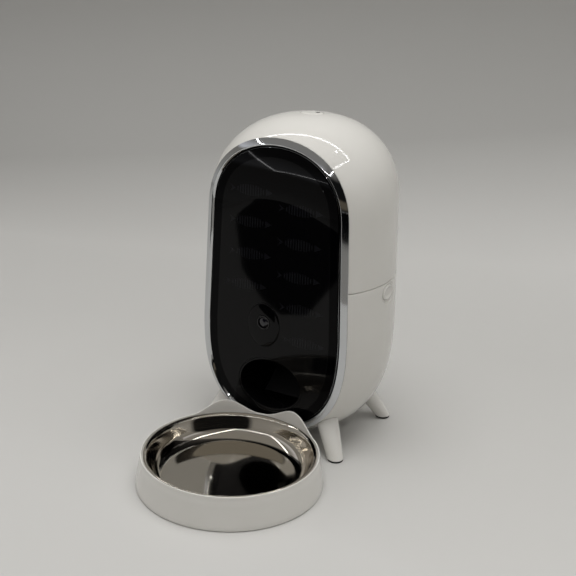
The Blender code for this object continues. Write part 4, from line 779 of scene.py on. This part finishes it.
# %% [markdown]
# ## Printed fish
# Behind the acrylic is a faint print of simple striped fish, a generic motif for a pet's feeder, laid out in
# plain staggered rows. Each fish is a row of thin upright bars whose heights follow an oval, with a pointed head
# and a forked tail, drawn in parts of the fish's length and height from its middle. The print is a skin a few
# hundredths of a millimetre thick on the panel.

# %% Printed fish
INK_SKIN = 0.00003
FISH_LENGTH = 0.030
FISH_HEIGHT = 0.0105
FISH_BARS = 11
BAR_SHARE = 0.55
FISH_HEAD = (0.54, -0.32), (0.78, 0), (0.54, 0.32)
FISH_TAIL = (-0.54, 0), (-0.74, -0.36), (-0.66, 0), (-0.74, 0.36)
FISH_PLACES = (
    (-0.026, 0.252), (0.026, 0.240), (-0.026, 0.222), (0.026, 0.208), (-0.026, 0.191),
    (0.026, 0.176), (-0.030, 0.160), (0.030, 0.145), (0.034, 0.113),
)


def add_patch(bm, points):
    """Add a thin plate of the given outline, half sunk in the panel."""
    front = WINDOW_FRONT_Y - PANEL_STEP - INK_SKIN
    patch = sweep([along_y(points, front + 2 * INK_SKIN), along_y(points, front)])
    mesh = bpy.data.meshes.new("patch")
    patch.to_mesh(mesh)
    patch.free()
    bm.from_mesh(mesh)
    bpy.data.meshes.remove(mesh)


bm = bmesh.new()
wide = FISH_LENGTH / FISH_BARS * BAR_SHARE / 2
for x, z in FISH_PLACES:
    for bar in range(FISH_BARS):
        share = (bar + 0.5) / FISH_BARS
        half = FISH_HEIGHT / 2 * math.sqrt(1 - (2 * share - 1) ** 2) + INK_SKIN
        u = x + FISH_LENGTH * (share - 0.5)
        ends = (-wide, -half), (wide, -half), (wide, half), (-wide, half)
        add_patch(bm, [(u + across, z + rise) for across, rise in ends])
    for part in (FISH_HEAD, FISH_TAIL):
        add_patch(bm, [(x + FISH_LENGTH * across, z + FISH_HEIGHT * rise) for across, rise in part])
piece("fish_print", bm, ink, "body", "window_black")

# %% [markdown]
# ## Camera
# The camera sits a little left of the middle in an upright oval plate with a soft edge. A short tube stands out
# of the plate and holds a domed lens, whose rings close in on its middle along a quarter of a circle.

# %% Camera
LENS_Z = 0.1252
BARREL_RADIUS = 0.0070
BARREL_WALL = 0.0014
BEZEL_FRONT_Y = box_depths("camera_bezel")[0]
BARREL_FRONT_Y, BARREL_BACK_Y = box_depths("lens_barrel")
PLATE_EDGE = (0, 0.0008), (-0.0002, 0.0004), (-0.0006, 0.0001), (-0.0012, 0)
LENS_AXIS = disc(0, CAMERA_PLATE[2], LENS_Z, 64)
LENS_STEPS = 8

stages = [(0, WINDOW_BACK_Y)] + [(grow, BEZEL_FRONT_Y + depth) for grow, depth in PLATE_EDGE]
bm = oval_stack(along_y, (*CAMERA_PLATE, 128), stages)
hole = disc(BARREL_RADIUS + FIT, *LENS_AXIS[2:])
bm = drill(bm, along_y, hole, BEZEL_FRONT_Y - OVERRUN, WINDOW_BACK_Y + OVERRUN)
piece("camera_plate", bm, acrylic, "body", "window_black", "camera_bezel")

bore = BARREL_RADIUS - BARREL_WALL
stages = [(BARREL_RADIUS, BARREL_BACK_Y), (BARREL_RADIUS, BARREL_FRONT_Y + ROUND)]
stages += [(BARREL_RADIUS - ROUND / 2, BARREL_FRONT_Y), (bore + ROUND / 2, BARREL_FRONT_Y)]
stages += [(bore, BARREL_FRONT_Y + ROUND), (bore, BARREL_BACK_Y)]
tube = oval_stack(along_y, LENS_AXIS, stages, closed=True)
piece("lens_tube", tube, black_gloss, "body", "black_plastic", "lens_barrel")

low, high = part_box("camera_lens")
front, back = box_depths("camera_lens")
middle = (front + back) / 2
radius = (high[0] - low[0]) / 2
stages = [(radius, back), (radius, middle)]
for across, rise in arc(0, 0, 1, 0, 90, LENS_STEPS)[1:]:
    stages.append((max(radius * across, MERGE * 10), middle - (back - front) / 2 * rise))
piece("lens_dome", oval_stack(along_y, LENS_AXIS, stages), lens_glass, "body", "lens_glass", "camera_lens")

# %% [markdown]
# ## Food outlet
# An oval tunnel of gloss black plastic whose lip lies flush in the window. The lip is broken by only a tenth of a
# millimetre: a wider round would draw a pale line round the hole, and the real one shows none. The food drops
# through a round hole in the tunnel's roof.

# %% Food outlet
OUTLET_WALL = 0.0020
OUTLET_BACK_Y = -0.0005
DROP_Y = -0.0125
DROP_RADIUS = 0.0110
LIP_ROUND = 0.00012

lip = WINDOW_FRONT_Y + LIP_ROUND
stages = [(OUTLET_WALL, OUTLET_BACK_Y - OUTLET_WALL), (OUTLET_WALL, lip)]
stages += [(OUTLET_WALL - LIP_ROUND, WINDOW_FRONT_Y), (LIP_ROUND, WINDOW_FRONT_Y)]
stages += [(0, lip), (0, OUTLET_BACK_Y)]
bm = oval_stack(along_y, (*OUTLET, 128), [(-inset, y) for inset, y in stages])
middle_z = OUTLET[3]
roof_z = middle_z + OUTLET[1]
bm = drill(bm, along_z, disc(DROP_RADIUS, 0, DROP_Y, 48), middle_z, roof_z + OVERRUN)
piece("outlet_tunnel", bm, chute_black, "body", "black_plastic", "outlet_chute")

# %% [markdown]
# ## Push button on the crown
# A white disc with a rounded edge in a dark hairline gap. A small dark lens in it lets a signal light show.

# %% Push button on the crown
SIGNAL_RADIUS = 0.0023
SIGNAL_DEPTH = 0.0020
SIGNAL_X, SIGNAL_Y = 0.0061, 0.0003
SIGNAL_SHOULDER = 0.7

top_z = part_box("top_button")[1][2]
under_z = DOME_Z + DOME_HEIGHT - WALL
edge = TOP_BUTTON_RADIUS
points = [(0, under_z), (edge, under_z), (edge, top_z - 2 * ROUND)]
points += arc(edge - ROUND, top_z - 2 * ROUND, ROUND, 0, 80, steps=5)
points += [(edge - 3 * ROUND, top_z - ROUND / 3), (edge / 2, top_z), (0, top_z)]
hole = disc(SIGNAL_RADIUS, SIGNAL_X, SIGNAL_Y, 24)
bm = drill(turned(points, steps=96), along_z, hole, top_z - SIGNAL_DEPTH, top_z + OVERRUN)
middle_y = AXIS_Y + TOP_BUTTON_Y
piece("crown_button", bm, gloss_abs, "top_push", "gloss_white", "top_button", shift=(0, middle_y, 0))

tip = top_z - ROUND / 4
points = [(0, top_z - SIGNAL_DEPTH), (SIGNAL_RADIUS, top_z - SIGNAL_DEPTH), (SIGNAL_RADIUS, tip - ROUND / 2)]
points += [(SIGNAL_RADIUS * SIGNAL_SHOULDER, tip - ROUND / 6), (0, tip)]
place = SIGNAL_X, middle_y + SIGNAL_Y, 0
bm = turned(points, steps=24)
piece("signal_lens", bm, black_gloss, "top_push", "black_plastic", "top_button", shift=place)

# %% [markdown]
# ## Latch buttons
# An oval button sits in each dish just under the seam. A rounded rim runs round its face, which is hollowed by
# about a millimetre, so that a thumb finds it without looking.

# %% Latch buttons
LATCH_FACE = (
    (0, 2 * ROUND), (ROUND / 3, ROUND), (ROUND, ROUND / 3), (0.0014, 0), (0.0018, ROUND / 4), (0.0030, 0.0011),
    (0.0044, 0.0013),
)

for side, hand in ((1, "right"), (-1, "left")):
    low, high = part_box(f"latch_button_{hand}")
    face_x = high[0] if side > 0 else -low[0]
    stages = [(0, side * (face_x - WALL))] + [(-inset, side * (face_x - depth)) for inset, depth in LATCH_FACE]
    cap = oval_stack(along_x, (LATCH_HALF_WIDTH, LATCH_HALF_HEIGHT, LATCH_Y, LATCH_Z, 96), stages)
    piece(f"latch_cap_{hand}", cap, gloss_abs, f"latch_{hand}", "gloss_white", f"latch_button_{hand}")

# %% [markdown]
# ## Legs and pads
# Each leg is a tapered cone that leans out from under the belly. Its top has to lie along the body's curved skin,
# so every line of the cone is followed up until it meets the skin, and the leg ends there.

# %% Legs and pads
FOOT_RADIUS = 0.0080
FOOT_INSET = 0.08
FOOT_BEVEL = 0.015
LEG_TOP_RADIUS = 0.0124
LEG_TOP_Z = 0.0460
LEG_SPLAY = math.radians(35)
LEG_COUNT = 64
LEG_STEPS = 14
LEG_HALVINGS = 30
PAD_THICKNESS = 0.0016
PAD_RADIUS = 0.0072


def leg_point(foot, top, angle, share):
    """A point on the cone: share 0 is the foot, 1 the end hidden inside the body."""
    radius = FOOT_RADIUS + (LEG_TOP_RADIUS - FOOT_RADIUS) * share
    return foot.lerp(top, share) + Vector((math.cos(angle), math.sin(angle), 0)) * radius


def inside_body(point):
    return UNDERSIDE_Z - FIT < point.z and abs(point.x) < half_width(point.z, point.y, -FIT)


def leg_end(foot, top, angle):
    """How far up a line of the cone the body's skin lies."""
    near, far = 0, 1
    for _ in range(LEG_HALVINGS):
        middle = (near + far) / 2
        near, far = (near, middle) if inside_body(leg_point(foot, top, angle, middle)) else (middle, far)
    return near


def make_leg(name, foot_xy):
    low_z = PAD_THICKNESS + FIT
    foot = Vector((*foot_xy, low_z))
    reach = (LEG_TOP_Z - low_z) * math.tan(LEG_SPLAY)
    top = foot - Vector((*foot_xy, 0)).normalized() * reach + Vector((0, 0, LEG_TOP_Z - low_z))
    angles = [math.tau * step / LEG_COUNT for step in range(LEG_COUNT)]
    ends = [leg_end(foot, top, angle) for angle in angles]
    stations = [[leg_point(foot, top, angle, 0).lerp(foot, FOOT_INSET) for angle in angles]]
    for step in range(LEG_STEPS + 1):
        shares = [FOOT_BEVEL + (end - FOOT_BEVEL) * step / LEG_STEPS for end in ends]
        stations.append([leg_point(foot, top, angle, share) for angle, share in zip(angles, shares)])
    piece(f"{name}_moulding", sweep(stations), gloss_abs, "body", "gloss_white", name)


def make_pad(name, radius, thickness, body):
    points = [(0, 0), (radius - ROUND / 2, 0), (radius, ROUND / 2), (radius, thickness), (0, thickness)]
    bm = turned(points, steps=48)
    piece(f"{name}_disc", bm, pad_rubber, body, "dark_rubber", name, shift=box_place(name))


for corner in ("front_left", "front_right", "rear_left", "rear_right"):
    foot_x, foot_y, _ = box_place(f"foot_pad_{corner}")
    make_leg(f"leg_{corner}", (foot_x, foot_y - AXIS_Y))
    make_pad(f"foot_pad_{corner}", PAD_RADIUS, PAD_THICKNESS, "body")

# %% [markdown]
# ## Tray
# The tray is a low round tub, a little wider at its foot. At the back its wall rises in two ear-like swells. It
# is turned as a plain tub first, and the rings above the ledge are then lifted by a smooth cosine swell on each
# side. Three thin pads keep it off the table.

# %% Tray
TRAY_BASE_RADIUS = 0.0860
TRAY_RIM_RADIUS = 0.0816
TRAY_HEIGHT = 0.0310
TRAY_RAISE = 0.0006
TRAY_RIM_WALL = 0.0016
TRAY_WALL = 0.0024
TRAY_FLOOR_Z = 0.0030
TRAY_LEDGE_Z = 0.0282
TRAY_LEDGE_WIDTH = 0.0034
TRAY_CHANNEL_TOP = 0.0220
TRAY_WALL_STEPS = 6
TRAY_STEPS = 288
TRAY_TURN = math.radians(9.5)
TRAY_PAD_RADIUS = 0.0060
EAR_HEIGHT = 0.0120
EAR_ANGLE = math.radians(26)
EAR_HALF_SPAN = math.radians(24)


def ear_rise(x, y):
    angle = math.atan2(y, x) - math.pi / 2 - TRAY_TURN
    shares = [abs(angle - side * EAR_ANGLE) / EAR_HALF_SPAN for side in (-1, 1)]
    return max([0] + [EAR_HEIGHT * math.cos(share * math.pi / 2) ** 2 for share in shares if share < 1])


slope = (TRAY_BASE_RADIUS - TRAY_RIM_RADIUS) / (TRAY_HEIGHT - TRAY_RAISE)
inner = TRAY_RIM_RADIUS - TRAY_RIM_WALL
well = inner - TRAY_LEDGE_WIDTH
half = TRAY_RIM_WALL / 2
foot_z = TRAY_RAISE + ROUND
root = TRAY_LEDGE_Z - TRAY_WALL
floor_z = TRAY_FLOOR_Z + TRAY_WALL
skirt = TRAY_BASE_RADIUS - TRAY_WALL
points = [(0, TRAY_FLOOR_Z), (well + TRAY_WALL, TRAY_FLOOR_Z), (well + TRAY_WALL, TRAY_CHANNEL_TOP)]
points += [(skirt - slope * (TRAY_CHANNEL_TOP - TRAY_RAISE), TRAY_CHANNEL_TOP), (skirt, TRAY_RAISE)]
points += arc(TRAY_BASE_RADIUS - ROUND, foot_z, ROUND, -90, 0, steps=4)
for z in band_heights(foot_z, root, TRAY_WALL_STEPS)[1:]:
    points.append((TRAY_BASE_RADIUS - slope * (z - TRAY_RAISE), z))
points += [(TRAY_RIM_RADIUS, TRAY_LEDGE_Z)]
points += arc(TRAY_RIM_RADIUS - half, TRAY_HEIGHT - half, half, 0, 180, steps=10)
points += [(inner, TRAY_LEDGE_Z + ROUND / 2), (inner - ROUND / 2, TRAY_LEDGE_Z), (well + ROUND, TRAY_LEDGE_Z)]
points += [(well, TRAY_LEDGE_Z - ROUND), (well, floor_z + 2 * ROUND), (well - 2 * ROUND, floor_z)]
points.append((0, floor_z))
bm = turned(points, TRAY_STEPS)
for vert in bm.verts:
    if vert.co.z > TRAY_LEDGE_Z + ROUND:
        vert.co.z += ear_rise(vert.co.x, vert.co.y)
piece("tray_moulding", bm, gloss_abs, "tray", "gloss_white", "bowl_tray", shift=box_place("bowl_tray"))
for number in (1, 2, 3):
    make_pad(f"tray_pad_{number}", TRAY_PAD_RADIUS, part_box(f"tray_pad_{number}")[1][2], "tray")

# %% [markdown]
# ## Steel bowl
# Sheet steel drawn into a steep wall that turns through a wide round into a shallow floor, with a lip rolled over
# at the rim. Sheet has no sharp corner anywhere, so the profile goes through arcs, and it gets its thickness last.

# %% Steel bowl
BOWL_STEPS = 288
BOWL_SHEET = 0.0007
BOWL_FLOOR = (0, 0.0004), (0.0560, 0), (0.0640, 0.0012), (0.0706, 0.0072)
BOWL_WALL = (0.0752, 0.0020), (0.0768, BOWL_SHEET)
BOWL_ROUND = 0.0044
BOWL_ROUND_STEPS = 8
LIP_ROLL = 0.0010


def smooth_profile(corners):
    """Round every inner corner of a polyline by a curve of about BOWL_ROUND."""
    points = [corners[0]]
    for before, corner, after in zip(corners, corners[1:], corners[2:]):
        corner = Vector(corner)
        arms = [Vector(other) - corner for other in (before, after)]
        start, end = [corner + arm.normalized() * min(BOWL_ROUND, arm.length / 2) for arm in arms]
        for step in range(BOWL_ROUND_STEPS + 1):
            share = step / BOWL_ROUND_STEPS
            points.append(tuple(start.lerp(corner, share).lerp(corner.lerp(end, share), share)))
    return points + [corners[-1]]


low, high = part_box("steel_bowl")
floor, lip = low[2] + BOWL_SHEET, high[2]
lip_radius = (high[0] - low[0]) / 2
corners = [(r, floor + rise) for r, rise in BOWL_FLOOR] + [(r, lip - drop) for r, drop in BOWL_WALL]
rolled = arc(lip_radius - LIP_ROLL, lip - LIP_ROLL, LIP_ROLL, 110, -60, steps=9)
bm = turned(smooth_profile(corners) + rolled, BOWL_STEPS)
bmesh.ops.recalc_face_normals(bm, faces=bm.faces)
point_up(bm)
bmesh.ops.solidify(bm, geom=bm.faces[:], thickness=BOWL_SHEET)
point_out(bm)
piece("drawn_bowl", bm, bowl_steel, "bowl", "polished_steel", "steel_bowl", shift=BOWL_PLACE)

# %% [markdown]
# ## Hinge
# Two knuckles on the shell and one on the hood turn on a steel pin at the back. Each knuckle is a barrel with a
# short lug that runs into the wall.

# %% Hinge
HINGE_RADIUS = 0.00347
HINGE_STANDOFF = 0.0050
HINGE_Y = half_depth(SEAM_Z, 0) + HINGE_STANDOFF
HINGE_HALF_WIDTH = 0.0220
HINGE_MIDDLE = 0.0077
PIN_RADIUS = 0.0015


def make_knuckle(name, side, low_x, high_x, body):
    lug = half_depth(SEAM_Z, max(abs(low_x), abs(high_x))) - WALL / 2
    gap = side * SEAM_GAP / 2
    outline = [(lug, SEAM_Z + gap), (lug, SEAM_Z + side * HINGE_RADIUS)]
    outline += [(y, SEAM_Z + side * z) for y, z in arc(HINGE_Y, 0, HINGE_RADIUS, 90, -180, steps=36)]
    outline.append((HINGE_Y - HINGE_RADIUS, SEAM_Z + gap))
    bm = sweep([along_x(outline, low_x), along_x(outline, high_x)])
    pin = disc(PIN_RADIUS + FIT, HINGE_Y, SEAM_Z, 32)
    piece(name, drill(bm, along_x, pin, low_x - OVERRUN, high_x + OVERRUN), gloss_abs, body, "gloss_white")


make_knuckle("hood_knuckle", 1, -HINGE_MIDDLE, HINGE_MIDDLE, "hood")
make_knuckle("shell_knuckle_right", -1, HINGE_MIDDLE + FIT, HINGE_HALF_WIDTH, "body")
make_knuckle("shell_knuckle_left", -1, -HINGE_HALF_WIDTH, -HINGE_MIDDLE - FIT, "body")

# %% [markdown]
# ## Carried-over pieces
# The inner parts, the frame and the underside are right as they are, so they only get a finish. Each takes the
# one that its material slot names.

# %% Carried-over pieces
SLOT_FINISHES = {
    "gloss_white": gloss_abs,
    "window_black": acrylic,
    "black_plastic": black_satin,
    "inner_grey": grey_satin,
    "chrome_trim": chrome,
    "polished_steel": bowl_steel,
    "plain_steel": zinc_steel,
    "dark_rubber": pad_rubber,
    "lens_glass": lens_glass,
    "circuit_board": solder_mask,
}
for entry in frame["record"]["subparts"]:
    for holder in frame["nodes"][entry["node"]].material_slots:
        holder.material = SLOT_FINISHES[entry["material_slot"]]

# %% [markdown]
# ## Floor and backdrop
# A pale sweep: a table that curves up into a wall close behind the object, as in a small studio. It is stage, and
# not part of the object. Its colour is painted darker towards the back and the left, a painted shade for the
# falloff of a table lit from overhead. Its back is see-through, so a view from behind isn't blocked. A ramp paints
# the shade.

# %% Floor and backdrop
# Painted shade: the table's colour steps darker from front to back and towards the left, for the light's falloff.
TABLE_PAINTED_FALLOFF = (
    (-0.15, "#CCCBC8"), (0.30, "#C2C1BE"), (0.60, "#C1C0BD"), (0.95, "#9F9E9B"), (1.25, "#A2A19E"),
)
FALLOFF_DIRECTION = (-0.30, 1, 1)
TABLE_ROUGHNESS = 0.45
TABLE_REACH = 2.4
SWEEP_START = 0.34
SWEEP_RADIUS = 0.42
WALL_TOP = 1.5


def set_stops(ramp, tones):
    """Give a colour ramp its stops from (place, hex) pairs."""
    stops = ramp.color_ramp.elements
    for stop, (position, tone) in zip(stops, (tones[0], tones[-1])):
        stop.position, stop.color = position, linear(tone)
    for position, tone in tones[1:-1]:
        stops.new(position).color = linear(tone)


def make_laminate():
    finish, tree, shader = new_finish("pale_table_laminate")
    place = add(tree, "ShaderNodeTexCoord").outputs["Object"]
    # Painted shade: the base colour darkens along this direction, in place of the falloff of the overhead light.
    along = add(tree, "ShaderNodeVectorMath", {"operation": "DOT_PRODUCT"}, _0=place, _1=FALLOFF_DIRECTION)
    first, last = TABLE_PAINTED_FALLOFF[0][0], TABLE_PAINTED_FALLOFF[-1][0]
    share = add(tree, "ShaderNodeMapRange", _0=along.outputs["Value"], _1=first, _2=last).outputs[0]
    ramp = add(tree, "ShaderNodeValToRGB", Fac=share)
    set_stops(ramp, [((distance - first) / (last - first), tone) for distance, tone in TABLE_PAINTED_FALLOFF])
    feed(shader, Base_Color=ramp.outputs["Color"], Roughness=TABLE_ROUGHNESS)
    facing = add(tree, "ShaderNodeNewGeometry").outputs["Backfacing"]
    clear = add(tree, "ShaderNodeBsdfTransparent").outputs[0]
    mixed = add(tree, "ShaderNodeMixShader", _0=facing, _1=shader.outputs[0], _2=clear).outputs[0]
    feed(tree.nodes["Material Output"], Surface=mixed)
    return finish


def stage_sheet(name, bm, finish):
    """Make an open sheet of the stage, which looks up."""
    point_up(bm)
    made = mesh_object(name, bm)
    made.data.materials.append(finish)
    return made


bend = arc(SWEEP_START, SWEEP_RADIUS, SWEEP_RADIUS, -90, 0, steps=24)
profile = [(-TABLE_REACH, 0)] + bend + [(SWEEP_START + SWEEP_RADIUS, WALL_TOP)]
bm = bmesh.new()
verts = [bm.verts.new((-TABLE_REACH, y + AXIS_Y, z)) for y, z in profile]
edges = [bm.edges.new(pair) for pair in zip(verts, verts[1:])]
grown = bmesh.ops.extrude_edge_only(bm, edges=edges)["geom"]
fresh = [part for part in grown if isinstance(part, bmesh.types.BMVert)]
bmesh.ops.translate(bm, verts=fresh, vec=(2 * TABLE_REACH, 0, 0))
table = stage_sheet("table_sweep", bm, make_laminate())
table.data.shade_smooth()
print("table is", 2 * TABLE_REACH, "m wide, wall", WALL_TOP, "m high")

# %% [markdown]
# ## Cards that only reflections see
# Photographers lay cards about a glossy object to give it something to mirror. A black one on the table in front
# of the object darkens the window, the ring and the bowl, and a grey one on top of it gives the right side of the
# ring a middle tone. The camera doesn't see them, and they throw no shadow.

# %% Reflection cards
BLACK_CORNERS = (
    (-0.30, -0.50), (-0.21, -0.405), (-0.16, -0.367), (-0.13, -0.385), (-0.16, -0.54), (0.33, -0.54),
    (0.40, -0.46), (2.2, -0.46), (2.2, -2.4), (-1.5, -2.4), (-0.505, -0.806),
)
GREY_CORNERS = (0.27, -0.52), (0.47, -0.36), (0.68, -0.62), (0.45, -0.80)
CARDS = ("black_card", "#060607", BLACK_CORNERS, 0.001), ("grey_card", "#8E8C88", GREY_CORNERS, 0.002)

for name, colour, corners, height in CARDS:
    finish, tree, shader = new_finish(name)
    feed(shader, Base_Color=linear(colour), Roughness=1.0, Specular_IOR_Level=0.0)
    bm = bmesh.new()
    bm.faces.new([bm.verts.new((x, y + AXIS_Y, height)) for x, y in corners])
    card = stage_sheet(name, bm, finish)
    card.visible_camera = card.visible_diffuse = card.visible_shadow = card.visible_transmission = False
    print(name, "has", len(corners), "corners")

# %% [markdown]
# ## Light
# A wide soft panel overhead and a weaker one at the right do most of the lighting. They are left out of
# reflections, and a large frame of four thin bright strips overhead is what the gloss and the steel mirror, as
# clean lines. One small round lamp adds a spark.

# %% Light
PANELS = (
    ("soft_panel", (0.1, -0.2, 2.4), (1.8, 1.6), 32, (0.1, 0.0, 0.0)),
    ("side_panel", (2.3, -1.7, 1.2), (1.6, 1.2), 4, (0.1, 0, 0.15)),
)
STRIP_HEIGHT = 2.2
STRIP_WIDTH = 0.045
STRIP_POWER = 2.2
FRAME_LEFT, FRAME_RIGHT = -2.20, 1.50
FRAME_FRONT, FRAME_BACK = -3.60, 0.70
SPARK_X, SPARK_Y = 0.80, 0.49
SPARK_SIZE = 0.07
SPARK_POWER = 0.9


def area_light(name, place, size, power, target=None):
    """A lamp that faces its target, or straight down without one."""
    data = bpy.data.lights.new(name, "AREA")
    data.shape = "RECTANGLE"
    data.size, data.size_y = size
    data.energy = power
    lamp = bpy.data.objects.new(name, data)
    bpy.context.collection.objects.link(lamp)
    lamp.location = place
    if target:
        lamp.rotation_euler = (Vector(target) - Vector(place)).to_track_quat("-Z", "Y").to_euler()
    print("lamp:", name, round(power, 2), "W")
    return lamp


strips = (
    ("back", (FRAME_LEFT, FRAME_BACK), (FRAME_RIGHT, FRAME_BACK)),
    ("right", (FRAME_RIGHT, FRAME_FRONT), (FRAME_RIGHT, FRAME_BACK)),
    ("front", (FRAME_LEFT, FRAME_FRONT), (FRAME_RIGHT, FRAME_FRONT)),
    ("left", (FRAME_LEFT, FRAME_FRONT), (FRAME_LEFT, FRAME_BACK)),
)
for edge, start, end in strips:
    place = (start[0] + end[0]) / 2, (start[1] + end[1]) / 2 + AXIS_Y, STRIP_HEIGHT
    size = end[0] - start[0] + STRIP_WIDTH, end[1] - start[1] + STRIP_WIDTH
    area_light(f"strip_{edge}", place, size, STRIP_POWER * max(size))
for panel in PANELS:
    area_light(*panel).visible_glossy = False
spark_place = SPARK_X, SPARK_Y + AXIS_Y, STRIP_HEIGHT
area_light("spark", spark_place, (SPARK_SIZE, SPARK_SIZE), SPARK_POWER).data.shape = "DISK"

# %% [markdown]
# ## Room
# The world gives the even part of the light, and everything glossy mirrors it. It is pale below and grey above,
# with one brighter band high up, which the window's bend shows as a soft glow. At the front right it turns dark,
# so that the bright ring and the bowl have something dark to mirror: without it, chrome on a white object would
# look white too. Heights run from 0, straight down, to 1, straight up.

# %% Room
ROOM_TONES = (
    (0.0, "#BDBCB8"), (0.49, "#A3A29F"), (0.56, "#8C8A87"), (0.70, "#7E7B76"), (0.725, "#D2D2D6"),
    (0.80, "#8A8885"), (1.0, "#8A8782"),
)
DARK_TONES = (
    (0.0, "#BDBCB8"), (0.43, "#A3A29F"), (0.47, "#141414"), (0.49, "#5A5348"), (0.53, "#5A5348"),
    (0.55, "#141414"), (0.69, "#141414"), (0.74, "#6E6B67"), (1.0, "#8A8782"),
)
DARK_START, DARK_FULL = 0.97, 1.10

world = bpy.data.worlds.new("room")
bpy.context.scene.world = world
world.use_nodes = True
tree = world.node_tree
direction = add(tree, "ShaderNodeTexCoord").outputs["Generated"]
parts = add(tree, "ShaderNodeSeparateXYZ", Vector=direction).outputs
height = add(tree, "ShaderNodeMapRange", _0=parts["Z"], _1=-1.0, _2=1.0).outputs[0]
ramps = []
for tones in (ROOM_TONES, DARK_TONES):
    ramps.append(add(tree, "ShaderNodeValToRGB", Fac=height))
    set_stops(ramps[-1], tones)
front_right = add(tree, "ShaderNodeMath", {"operation": "SUBTRACT"}, _0=parts["X"], _1=parts["Y"])
facing = add(tree, "ShaderNodeMapRange", _0=front_right.outputs[0], _1=DARK_START, _2=DARK_FULL).outputs[0]
ends = {"_6": ramps[0].outputs["Color"], "_7": ramps[1].outputs["Color"]}
mixed = add(tree, "ShaderNodeMix", {"data_type": "RGBA"}, _0=facing, **ends)
feed(tree.nodes["Background"], Color=mixed.outputs[2], Strength=1.0)
bpy.context.scene.view_settings.view_transform = "Standard"
print("room:", len(ROOM_TONES), "tones, and", len(DARK_TONES), "at the front right")
